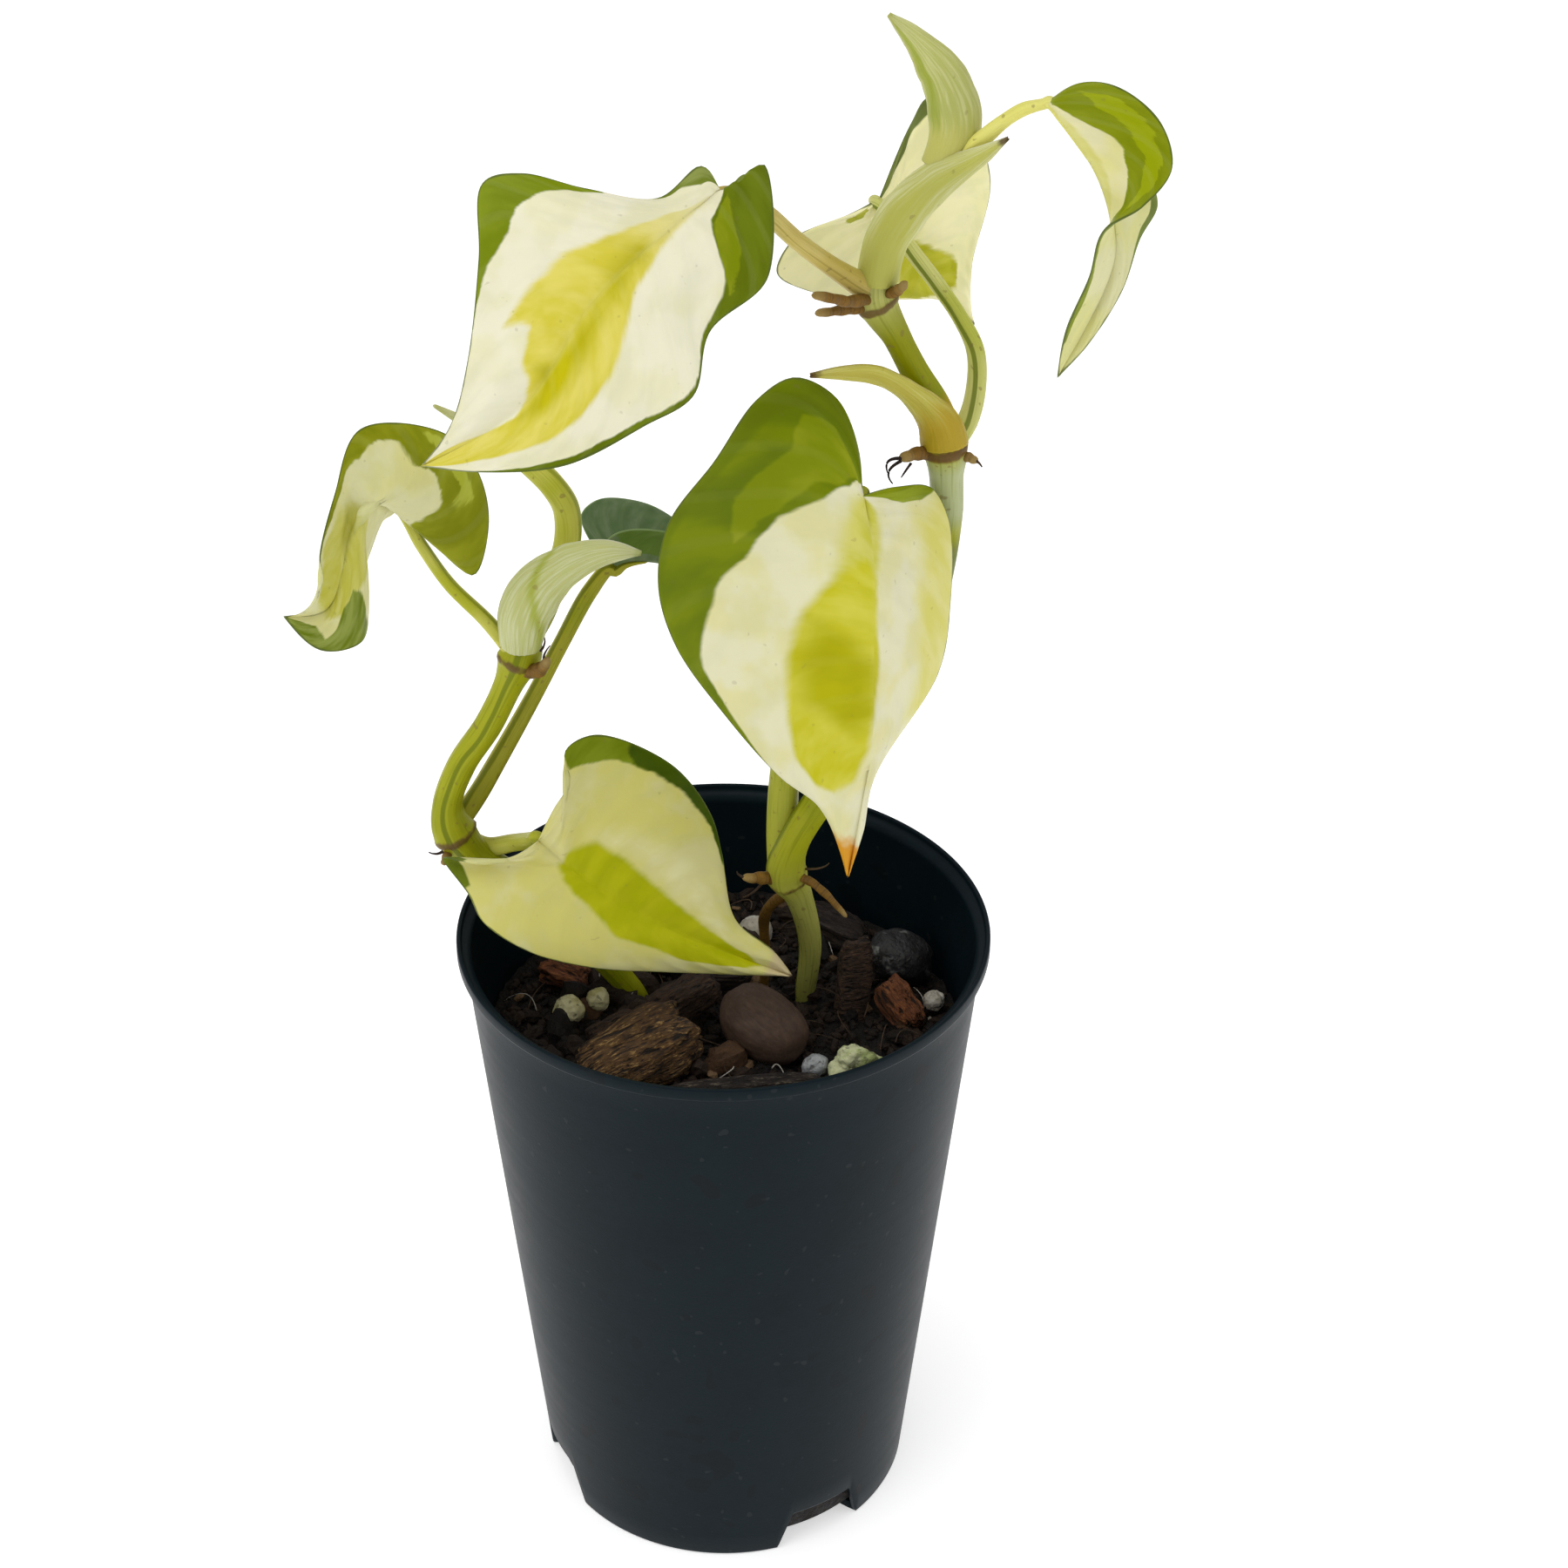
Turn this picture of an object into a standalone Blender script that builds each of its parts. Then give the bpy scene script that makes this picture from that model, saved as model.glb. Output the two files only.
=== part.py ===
"""A young variegated philodendron: two vines in a small round nursery pot of bark mix.

Sizes are in millimetres and become metres when a mesh is made. The pot stands on z = 0 with its
axis on Z, and the open side of the plant faces -Y. Heights of the plant, the mix and what lies on
it are given above the rim of the pot, so they follow the pot when its height changes.
"""

import math

import bmesh
import bpy
import numpy as np
from mathutils import Euler, Matrix, Vector, noise

MM = 0.001

# Pot
POT_HEIGHT = 82.0
RIM_RADIUS = 32.0
BASE_RADIUS = 23.4
LIP_OVERHANG = 0.9
LIP_HEIGHT = 1.7
LIP_WALL = 0.55
POT_WALL = 0.8
POT_FLOOR = 1.2
POT_SEGMENTS = 40
NOTCH_WIDTH = 12.0
NOTCH_HEIGHT = 6.0
NOTCH_REACH = 8.0
NOTCH_ANGLES = (-59, -157, -239, -337)

# Potting mix
MIX_DEPTH = 15.0
MIX_ROUGHNESS = 0.9
MIX_SEGMENTS = 30
MIX_RINGS = 5

# Plant
STEM_RADIUS = 2.0
PETIOLE_RADIUS = 1.2
LEAF_THICKNESS = 0.5
SHEATH_THICKNESS = 0.5
STEM_SIDES = 8
PETIOLE_SIDES = 7
ROOT_SIDES = 6
FREE_HEIGHT = 10.0

# Space between pieces that touch
CLEARANCE = 0.3

WALL_TOP_RADIUS = RIM_RADIUS - LIP_OVERHANG
MIX_RADIUS = WALL_TOP_RADIUS - POT_WALL - CLEARANCE - 1.2
# The chips and roots below are laid out for a mix surface of this radius, and spread with it.
LAYOUT_RADIUS = 28.8
SPREAD = MIX_RADIUS / LAYOUT_RADIUS

# Vines: x, y, height above the rim, and a share of STEM_RADIUS (over 1.2 at a node).
MAIN_VINE = (
    (10, 8, -40, 0.8),
    (10, 7, -28, 0.7),
    (10, 6, -16, 0.62),
    (10.5, 3, -4.5, 0.7),
    (9, 1, 3.5, 0.85),
    (7.5, 0, 7.5, 1.2),
    (9.5, 0, 12.5, 0.9),
    (15.5, 1, 21.5, 0.95),
    (20.6, 3.8, 31.5, 1),
    (24, 5.2, 42.5, 1),
    (25.4, 6, 52, 1),
    (24.7, 4, 61, 1.3),
    (23.5, 4, 66, 1),
    (21, 4, 70.5, 0.95),
    (19, 4, 74.5, 0.95),
    (16.5, 4, 79.5, 1.3),
    (17.5, 3.5, 84, 1),
    (21, 2, 90, 1),
    (25, 0.5, 96, 1.1),
)
SIDE_VINE = (
    (-10.5, 7, -38, 0.8),
    (-10.5, 6, -26, 0.75),
    (-10.5, 5, -15.5, 0.72),
    (-13, 5, -11, 0.78),
    (-19, 4.5, -3, 0.85),
    (-25, 4, 4, 0.9),
    (-29.5, 3.5, 8, 0.95),
    (-32, 3, 12, 1.25),
    (-32.5, 3, 15.5, 0.95),
    (-30.5, 3, 21, 0.92),
    (-27, 3, 26.5, 0.92),
    (-24.5, 3, 32, 0.95),
    (-23, 3, 36, 1.2),
    (-22.3, 3.3, 38, 0.9),
)

# Leaf stalks: the vine they grow from, the leaf they carry, and points from the vine's middle to
# the blade, each with a share of PETIOLE_RADIUS.
PETIOLES = {
    "petiole_upper_left": (
        "main_vine",
        "leaf_upper_left",
        ((16.5, 4, 79.5, 1.3), (12, 0, 84, 1), (8, -5, 89, 1), (4, -10, 94.5, 0.95), (0.6, -12.8, 97.2, 0.8)),
    ),
    "petiole_centre": (
        "main_vine",
        "leaf_centre",
        (
            (7.5, 0, 7.5, 1.3),
            (7.3, -1, 13.5, 1.25),
            (7.2, -1, 20.5, 1.2),
            (8.5, 0, 32, 1.1),
            (11.5, 1, 42.5, 1.05),
            (14.3, -0.5, 52.5, 1),
            (15.2, -4.6, 60, 0.8),
        ),
    ),
    "petiole_lower_left": (
        "side_vine",
        "leaf_lower_left",
        ((-32, 3, 12, 1.1), (-28.5, 4.5, 8.5, 1), (-25, 3, 10, 0.9), (-22.3, -1, 13, 0.85), (-21.6, -3.1, 14.6, 0.7)),
    ),
    "petiole_curled": (
        "side_vine",
        "leaf_curled",
        ((-23.4, 3, 35.5, 1.1), (-26.5, 1, 40.5, 1), (-30, -1, 46, 1), (-32.6, -3.6, 53, 0.9), (-34.6, -4.7, 57.8, 0.7)),
    ),
    "petiole_back_green": (
        "side_vine",
        "leaf_back_green",
        (
            (-32, 3, 12, 1.1),
            (-28.5, 6, 14, 1.1),
            (-23.5, 7, 20.5, 1.1),
            (-19.5, 8, 28.5, 1.05),
            (-15.2, 9, 36.5, 1),
            (-12.9, 9.8, 42.6, 0.8),
        ),
    ),
    "petiole_top_right": (
        "main_vine",
        "leaf_top_right",
        ((25, 0.5, 96, 1.2), (28.5, -1, 99, 1.1), (31, -2.6, 101.5, 1), (32.5, -3.3, 102.9, 0.8)),
    ),
    "petiole_back_upper": (
        "main_vine",
        "leaf_back_upper",
        (
            (24.7, 4, 61, 1.2),
            (27.8, 7, 62.5, 1.1),
            (29.3, 9, 66.5, 1.1),
            (28.7, 11, 71.5, 1.1),
            (24.7, 13.5, 77, 1),
            (21, 13.8, 80.8, 1),
            (17.8, 13.9, 85, 0.8),
        ),
    ),
    "petiole_new_leaf": (
        "side_vine",
        "leaf_new_rolled",
        (
            (-22.3, 3.3, 37.5, 1.1),
            (-19.5, 5, 41.5, 1),
            (-17.5, 6, 46.5, 1),
            (-17, 7, 50.5, 1),
            (-18.5, 7, 54.5, 1),
            (-20.6, 7, 56.7, 0.95),
        ),
    ),
}

# Leaf blades. `base` and `tip` are the ends of the midrib and `face` is the way its upper side
# looks. The midrib and the two halves of the outline run from base to tip, as distances along the
# leaf, to its left and out of its upper side.
LEAVES = {
    "leaf_upper_left": {
        "base": (0, -14, 98),
        "tip": (-29.5, -28, 75),
        "face": (0.1, -0.9, 0.43),
        "midrib": ((0, 0, 0), (16, -0.5, 0.5), (28.5, 2.5, -1), (40, 0, 0)),
        "left": (
            (0, 0, 0), (-2, 1, 0), (-5, 1, 0), (2, 9.5, -1), (10, 9.5, 0),
            (15.5, 13, 1), (21, 12, 0), (29.5, 9.5, 1), (36, 4.5, 0), (40, 0, 0),
        ),
        "right": (
            (0, 0, 0), (0, -3, 2), (5, -3.5, 0), (10, -9, 2.5), (13.5, -14, 3),
            (17, -16, -1), (22, -11, -1.5), (29.5, -4.5, -2.5), (35, -1, -2), (40, 0, 0),
        ),
        "dish": 0.4,
        "wave": 0.3,
    },
    "leaf_centre": {
        "base": (15, -6, 60.5),
        "tip": (14, -15, 17),
        "face": (-0.05, -0.98, 0.2),
        "midrib": ((0, 0, 0), (6.5, 1.5, 1.5), (18, 2, 1.5), (30, 2, 0.5), (44.5, 0, 0)),
        "left": (
            (0, 0, 0), (0, 4, -4), (1.5, 8, -9), (5.5, 10, -10), (14, 10.5, -9),
            (22.5, 9.5, -8), (33, 2.5, -2), (39, 1.5, -0.5), (44.5, 0, 0),
        ),
        "right": (
            (0, 0, 0), (-5, -0.5, -1), (-10, -3, -2.5), (-12, -7.5, -3), (-9.5, -11.5, -3),
            (-2.5, -16, -3), (5, -21, -3.5), (12, -22, -3.5), (18.5, -20, -3), (26, -14.5, -2),
            (33, -8, -1), (36, -3.5, 0), (44.5, 0, 0),
        ),
        "dish": 0.8,
        "wave": 0.2,
    },
    "leaf_lower_left": {
        "base": (-21.5, -4, 15),
        "tip": (8, -9, -1),
        "face": (0.07, -0.91, 0.41),
        "midrib": ((0, 0, 0), (10, -2, 0), (19.5, -2, 0), (34, 0, 0)),
        "left": (
            (0, 0, 0), (-0.2, 4, 0.5), (-0.2, 8, 1), (-2.3, 10.7, 1), (0, 14, -0.5), (9.5, 15, -2),
            (16.5, 12, -3), (20, 8.5, -3), (25, 2.5, -2), (30.5, 1.5, -0.5), (34, 0, 0),
        ),
        "right": (
            (0, 0, 0), (-1.6, -3, 0.5), (-4, -6.7, 1), (-7, -6.5, 0), (-8.5, -7.6, -3),
            (-4, -9.5, 0), (-1, -11.5, 0.5), (5, -12, 1), (11.5, -10.5, 1), (20, -7, 0), (34, 0, 0),
        ),
        "dish": 0.6,
        "wave": 0.2,
    },
    "leaf_curled": {
        "base": (-35, -6, 59.5),
        "tip": (-46, -20, 53.5),
        "face": (0.73, -0.66, 0.19),
        "midrib": ((0, 0, 0), (3, -3, 1.5), (5.5, -4, 2.5), (10, 0, 1.5), (13.5, 3, 0.5), (18.5, 0, 0)),
        "left": (
            (0, 0, 0), (0, 1.5, -1.5), (1.5, 1.5, -2), (5, 3, -1.5), (8, 4.5, -1),
            (8.5, 7.5, -1), (12, 9, 0.5), (17, 6, 0.5), (18.5, 0, 0),
        ),
        "right": (
            (0, 0, 0), (-2, 6.5, 0.5), (-3, 12, 2.5), (-8, 9, 2), (-10, 3, 2), (-8.5, -3.5, 2),
            (-1, -9.5, -0.5), (6.5, -7, 1), (12.5, -4, 2.5), (13.5, -1, 2), (16, 1, 1), (18.5, 0, 0),
        ),
        "dish": 0.2,
        "wave": 0.0,
    },
    "leaf_back_green": {
        "base": (-12.5, 10, 43.5),
        "tip": (2, 12, 40),
        "face": (0.22, 0.1, 0.97),
        "midrib": ((0, 0, 0), (2, -0.5, 1.5), (8, 0, 1.5), (15, 0, 0.5)),
        "left": ((0, 0, 0), (-3, 4, 1.5), (-3.5, 7, 3), (-1, 9, 4.5), (5, 8, 5), (15, 0, 0.5)),
        "right": ((0, 0, 0), (-2, -2, 3), (-1, -3.5, 5.5), (4, -4.5, 7), (9, -3, 5), (15, 0, 0.5)),
        "dish": 0.2,
        "wave": 0.0,
    },
    "leaf_top_right": {
        "base": (33, -4, 103.5),
        "tip": (35, -9, 75.5),
        "face": (-0.08, -0.98, 0.17),
        "midrib": ((0, 0, 0), (1, 1, 3), (6.5, 4.5, 4.5), (12, 6, 2), (17, 6, 0), (28.5, 0, 0)),
        "left": (
            (0, 0, 0), (-2, 3.5, 2), (-1.5, 7, 3), (2, 11, 4), (6.5, 12, 5),
            (10, 9, 5.5), (12, 5, 6.5), (17, 3.5, 4.5), (23, 1, 2), (28.5, 0, 0),
        ),
        "right": (
            (0, 0, 0), (3, 2, -4), (6.5, 4.5, -6.5), (9.5, 10, -6.5), (12, 11, -4.5),
            (15, 9, -2.5), (20, 7, -1.5), (25, 3.5, -0.5), (28.5, 0, 0),
        ),
        "dish": 0.2,
        "wave": 0.0,
    },
    "leaf_back_upper": {
        "base": (17, 15, 85.5),
        "tip": (29.5, 28, 65.5),
        "face": (0.45, -0.85, -0.27),
        "midrib": ((0, 0, 0), (13, 0, 0), (27, 0, 0)),
        "left": ((0, 0, 0), (-1.5, 8.5, -4), (-3, 11.5, -4), (-0.5, 13.5, -3), (9.5, 11.5, 0), (18, 4, 0), (27, 0, 0)),
        "right": ((0, 0, 0), (-1, -3, 0), (-4.5, -9, 0), (-2, -13, 0), (4, -12, 0), (15.5, -4.5, 0), (20, -1, 0), (27, 0, 0)),
        "dish": 0.3,
        "wave": 0.3,
    },
}
ROLLED_LEAF = ((-21, 7, 57, 1.1), (-25, 7, 60.5, 1.6), (-28.5, 6.3, 63.5, 1.4), (-32.5, 5, 66.5, 0.3))

# Sheaths: the way their closed side faces, and points along their axis with the sheath's radius as
# a share of STEM_RADIUS and how far it wraps each way, in degrees.
SHEATHS = {
    "sheath_dried": (
        (-0.3, -1, 0),
        (
            (24.7, 4, 62.5, 1.55, 85), (24, 4, 66, 1.6, 75), (21.5, 2.5, 70.5, 1.6, 50),
            (17.5, 1, 74.5, 1.5, 40), (13, 0, 75, 1.5, 30), (9, -1, 74, 1.5, 8),
        ),
    ),
    "sheath_upper": (
        (-0.1, -1, 0.1),
        (
            (17.4, 3.5, 83, 1.45, 130), (18.5, 3, 86, 1.65, 135), (21, 2, 90, 1.7, 125),
            (24, 0.8, 95, 1.7, 60), (28.5, -1.5, 99.5, 1.7, 8),
        ),
    ),
    "sheath_top": (
        (0.2, -1, 0.2),
        (
            (24.3, 2.2, 99.2, 1.2, 110), (24.8, 2.6, 102, 1.3, 105), (24, 3, 105, 1.2, 95),
            (21, 4, 107.5, 1.1, 60), (17, 5.2, 109.3, 1.1, 8),
        ),
    ),
    "sheath_translucent": (
        (0, -1, 0.3),
        (
            (-22.5, 1.5, 39.5, 1.1, 60), (-21.5, 1, 44, 1.2, 60), (-18.5, 0.5, 49.5, 1.2, 50),
            (-13.5, 0.5, 51.5, 1.1, 40), (-8.5, 1, 51, 1.1, 10),
        ),
    ),
}

# Roots: the vine they grow from, and points with a radius.
ROOTS = {
    "aerial_root_high": ("main_vine", ((16, 3, 78.8, 0.7), (13.3, -1.2, 80, 0.65), (11.3, -3.2, 81.3, 0.6), (9.3, -4, 81.8, 0.3))),
    "aerial_root_high_lower": ("main_vine", ((16, 3.5, 77.6, 0.6), (12.5, 0.8, 78.3, 0.5), (10, -0.2, 78.4, 0.3))),
    "aerial_root_middle_left": ("main_vine", ((24, 4, 59.5, 0.6), (20.5, 2, 60.5, 0.5), (18.3, 0.8, 59.3, 0.3))),
    "aerial_root_middle_right": ("main_vine", ((25.5, 3.5, 59.8, 0.6), (28.8, 2.4, 58.8, 0.35))),
    "aerial_root_low_left": ("main_vine", ((7.5, 0, 7, 0.9), (3.8, -1.8, 8, 0.7), (2.2, -2.6, 8.6, 0.35))),
    "aerial_root_low_right": ("main_vine", ((8, 0, 7.5, 0.6), (11, -3, 7.6, 0.5), (14.5, -5, 4.5, 0.3))),
    "aerial_root_down": ("main_vine", ((8, 1, 4, 0.7), (5.2, 3, 0, 0.65), (5, 5, -7, 0.6), (5, 6.5, -16, 0.5))),
    "aerial_root_side": ("side_vine", ((-23, 2.8, 34, 0.9), (-20.8, 0.2, 35.4, 0.8), (-19.6, -0.9, 37.6, 0.35))),
    "aerial_root_side_low": ("side_vine", ((-32, 2.5, 10.5, 0.6), (-33, -0.6, 9.4, 0.35))),
    "main_root_back": ("main_vine", ((10, 8, -37, 0.8), (15, 10, -42, 0.7), (15, 12, -52, 0.5), (10, 12, -59, 0.4))),
    "main_root_front": ("main_vine", ((10, 8, -38, 0.8), (5.5, 2, -43, 0.7), (4, -5, -51, 0.5), (0, -9, -59, 0.4))),
    "side_root_back": ("side_vine", ((-10.5, 7, -35, 0.8), (-15, 9, -41, 0.7), (-15, 6, -51, 0.5), (-12, 2, -59, 0.4))),
    "side_root_front": ("side_vine", ((-10.5, 7, -36, 0.8), (-9, 0, -40, 0.7), (-12, -8, -48, 0.5), (-8, -12, -56, 0.4))),
}

# What lies on the mix: x, y, height of the middle above the rim, size, turn in degrees, how rough.
BARK = {
    "bark_front": ((-10.8, -10.8, -12.6), (15, 8.5, 6), (8, -12, 24), 0.16),
    "bark_centre": ((-5, 0.6, -11.6), (9.2, 4.8, 4.6), (0, -14, 30), 0.16),
    "bark_left": ((-13.4, -2.8, -13.6), (7, 3.8, 3), (20, 0, 40), 0.14),
    "bark_back": ((-1, 8, -13.4), (8, 4, 3.5), (10, 5, 8), 0.14),
    "bark_orange_left": ((-20, 8.4, -13), (6, 4, 3), (15, 10, -20), 0.16),
    "bark_flake": ((15.9, 3, -11.2), (4.6, 2.2, 11.5), (-14, 12, 25), 0.12),
    "bark_orange_right": ((21.6, 0.8, -12.8), (7, 3.8, 5), (10, 25, -50), 0.16),
    "bark_sliver": ((2.2, -14, -13.9), (19, 2.6, 2), (0, -3, 4), 0.08),
    "bark_front_low": ((-6, -22, -14), (11, 5.5, 4), (6, 4, -14), 0.16),
    "bark_front_right": ((10.5, -20, -14), (9, 5, 4), (-8, 4, 40), 0.16),
    "bark_rear": ((-8, 18, -13.8), (11, 6, 4.5), (5, -8, 15), 0.16),
    "bark_rear_right": ((14, 18.5, -13.6), (9, 5.5, 4), (-5, 10, -30), 0.16),
}
STONES = {
    "nugget": ((4.7, -4.8, -11.4), (11.5, 8.6, 8), (20, 18, -35), 0.05),
    "pebble": ((22, 9.4, -11.8), (8.5, 7.5, 6.5), (0, 20, 20), 0.1),
    "perlite_left": ((-15.5, 2.2, -12.6), (2.9, 2.7, 2.8), (0, 0, 10), 0.12),
    "perlite_left_front": ((-19, -0.6, -12.2), (4, 3.6, 3.6), (0, 0, 40), 0.12),
    "perlite_green": ((15.6, -11.6, -12.6), (6, 4.4, 4), (0, 10, 20), 0.14),
    "perlite_grey": ((10.8, -10.8, -13), (3, 2.8, 2.8), (0, 0, 0), 0.12),
    "perlite_back": ((4, 17, -13), (4.8, 4.6, 4.4), (0, 0, 0), 0.06),
    "perlite_right": ((25.8, 1.8, -12.8), (2.6, 2.5, 2.5), (0, 0, 0), 0.12),
}

COLOURS = {
    "pot": ((0.018, 0.022, 0.028), 0.42),
    "mix": ((0.02, 0.014, 0.01), 0.95),
    "bark": ((0.09, 0.045, 0.02), 0.9),
    "stone": ((0.07, 0.045, 0.032), 0.8),
    "perlite": ((0.55, 0.52, 0.38), 0.9),
    "stem": ((0.42, 0.5, 0.08), 0.4),
    "leaf": ((0.7, 0.75, 0.3), 0.4),
    "sheath": ((0.62, 0.58, 0.28), 0.5),
    "root": ((0.16, 0.09, 0.045), 0.8),
}


def clear_scene():
    for obj in list(bpy.data.objects):
        bpy.data.objects.remove(obj, do_unlink=True)


def material(kind):
    """One plain material of its own for a piece."""
    colour, roughness = COLOURS[kind]
    made = bpy.data.materials.new(kind)
    made.use_nodes = True
    shader = made.node_tree.nodes["Principled BSDF"]
    shader.inputs["Base Color"].default_value = (*colour, 1)
    shader.inputs["Roughness"].default_value = roughness
    shader.inputs["Metallic"].default_value = 0
    return made


def add_piece(name, mesh_builder, kind):
    """Turns a bmesh in millimetres into an object in metres."""
    bmesh.ops.recalc_face_normals(mesh_builder, faces=mesh_builder.faces)
    bmesh.ops.scale(mesh_builder, vec=(MM, MM, MM), verts=mesh_builder.verts)
    mesh = bpy.data.meshes.new(name)
    mesh_builder.to_mesh(mesh)
    mesh_builder.free()
    piece = bpy.data.objects.new(name, mesh)
    bpy.context.scene.collection.objects.link(piece)
    piece.data.materials.append(material(kind))
    return piece


def as_cutter(piece):
    piece.hide_render = True
    piece.display_type = "WIRE"
    return piece


def cut(piece, cutter):
    """Takes the cutter's shape out of the piece."""
    boolean = piece.modifiers.new("Cut " + cutter.name, "BOOLEAN")
    boolean.operation = "DIFFERENCE"
    boolean.object = cutter


def above_rim(height):
    return POT_HEIGHT + height


def planted(point):
    """A point of the plant, with x and y spread with the pot below FREE_HEIGHT."""
    x, y, height = point[:3]
    share = min(max(1 - height / FREE_HEIGHT, 0), 1)
    spread = 1 + (SPREAD - 1) * share
    return (x * spread, y * spread, above_rim(height), *point[3:])


def smooth_path(points, count):
    """`count` evenly spaced points on a smooth curve through the points, of any dimension."""
    points = np.array(points, float)
    steps = np.linalg.norm(np.diff(points[:, :3], axis=0), axis=1) ** 0.5
    knots = np.concatenate([[0], np.cumsum(steps)])
    slopes = np.diff(points, axis=0) / steps[:, None]
    tangents = np.empty_like(points)
    share = (steps[1:] / (steps[1:] + steps[:-1]))[:, None]
    tangents[1:-1] = slopes[:-1] * share + slopes[1:] * (1 - share)
    tangents[0] = 1.5 * slopes[0] - 0.5 * tangents[1]
    tangents[-1] = 1.5 * slopes[-1] - 0.5 * tangents[-2]
    place = np.linspace(0, knots[-1], 16 * len(points))
    span = np.clip(np.searchsorted(knots, place, side="right") - 1, 0, len(steps) - 1)
    s = ((place - knots[span]) / steps[span])[:, None]
    width = steps[span][:, None]
    curve = (
        (2 * s**3 - 3 * s**2 + 1) * points[span]
        + (s**3 - 2 * s**2 + s) * width * tangents[span]
        + (3 * s**2 - 2 * s**3) * points[span + 1]
        + (s**3 - s**2) * width * tangents[span + 1]
    )
    travelled = np.concatenate([[0], np.cumsum(np.linalg.norm(np.diff(curve[:, :3], axis=0), axis=1))])
    stops = np.linspace(0, travelled[-1], count)
    return np.stack([np.interp(stops, travelled, column) for column in curve.T], axis=1)


def frames_along(path):
    """A tangent and two square directions at each point, turned as little as possible."""
    frames = []
    side = None
    for index in range(len(path)):
        before = path[max(index - 1, 0)]
        after = path[min(index + 1, len(path) - 1)]
        tangent = Vector(after[:3] - before[:3]).normalized()
        if side is None:
            side = tangent.orthogonal()
        side = (side - tangent * side.dot(tangent)).normalized()
        frames.append((tangent, side, tangent.cross(side)))
    return frames


def stitch(mesh_builder, rings):
    """Quads between rings of the same length, with a cap on the first and the last."""
    for lower, upper in zip(rings, rings[1:]):
        for index in range(len(lower)):
            following = (index + 1) % len(lower)
            mesh_builder.faces.new((lower[index], lower[following], upper[following], upper[index]))
    mesh_builder.faces.new(rings[0])
    mesh_builder.faces.new(rings[-1])


def tube(name, path, sides, kind):
    """A round bar along a path of x, y, z and radius."""
    mesh_builder = bmesh.new()
    rings = []
    for point, (_, side, up) in zip(path, frames_along(path)):
        ring = []
        for step in range(sides):
            angle = 2 * math.pi * step / sides
            offset = (side * math.cos(angle) + up * math.sin(angle)) * point[3]
            ring.append(mesh_builder.verts.new(Vector(point[:3]) + offset))
        rings.append(ring)
    stitch(mesh_builder, rings)
    return add_piece(name, mesh_builder, kind)


def thicker(path, extra):
    """The same path with a larger radius, run on past its end."""
    path = path.copy()
    path[:, 3] += extra
    path[0, :3] += (path[0, :3] - path[1, :3]) * extra / np.linalg.norm(path[0, :3] - path[1, :3])
    path[-1, :3] += (path[-1, :3] - path[-2, :3]) * extra / np.linalg.norm(path[-1, :3] - path[-2, :3])
    return path


def revolved(name, profile, segments, kind):
    """Turns a profile of (radius, height) about Z. It starts and ends on the axis."""
    mesh_builder = bmesh.new()
    first = mesh_builder.verts.new((0, 0, profile[0][1]))
    last = mesh_builder.verts.new((0, 0, profile[-1][1]))
    rings = []
    for radius, height in profile[1:-1]:
        ring = []
        for step in range(segments):
            angle = 2 * math.pi * step / segments
            ring.append(mesh_builder.verts.new((radius * math.cos(angle), radius * math.sin(angle), height)))
        rings.append(ring)
    for step in range(segments):
        following = (step + 1) % segments
        mesh_builder.faces.new((first, rings[0][following], rings[0][step]))
        mesh_builder.faces.new((last, rings[-1][step], rings[-1][following]))
    for lower, upper in zip(rings, rings[1:]):
        for step in range(segments):
            following = (step + 1) % segments
            mesh_builder.faces.new((lower[step], lower[following], upper[following], upper[step]))
    return add_piece(name, mesh_builder, kind)


def wall_radius(height):
    """Outer radius of the pot's wall at a height above the ground."""
    share = height / (POT_HEIGHT - LIP_HEIGHT)
    return BASE_RADIUS + (WALL_TOP_RADIUS - BASE_RADIUS) * share


def make_pot():
    """A tapered pot with a turned-out lip and notches where the wall meets the floor."""
    corner = 0.7
    rounding = 0.25
    lip_low = POT_HEIGHT - LIP_HEIGHT
    lip_inner = RIM_RADIUS - LIP_WALL
    ledge = lip_low + POT_WALL
    profile = (
        (0, 0),
        (BASE_RADIUS - corner, 0),
        (BASE_RADIUS, corner),
        (WALL_TOP_RADIUS, lip_low - rounding),
        (WALL_TOP_RADIUS + rounding, lip_low),
        (RIM_RADIUS - rounding, lip_low),
        (RIM_RADIUS, lip_low + rounding),
        (RIM_RADIUS, POT_HEIGHT - rounding),
        (RIM_RADIUS - LIP_WALL / 2, POT_HEIGHT),
        (lip_inner, POT_HEIGHT - rounding),
        (lip_inner, ledge + rounding),
        (lip_inner - rounding, ledge),
        (WALL_TOP_RADIUS - POT_WALL + rounding, ledge - rounding),
        (wall_radius(lip_low - rounding) - POT_WALL, lip_low - rounding),
        (wall_radius(POT_FLOOR + corner) - POT_WALL, POT_FLOOR + corner),
        (wall_radius(POT_FLOOR) - POT_WALL - corner, POT_FLOOR),
        (0, POT_FLOOR),
    )
    pot = revolved("pot", profile, POT_SEGMENTS, "pot")
    for number, angle in enumerate(NOTCH_ANGLES):
        cut(pot, make_notch_cutter("notch_cutter_%d" % number, math.radians(angle)))
    return pot


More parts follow.
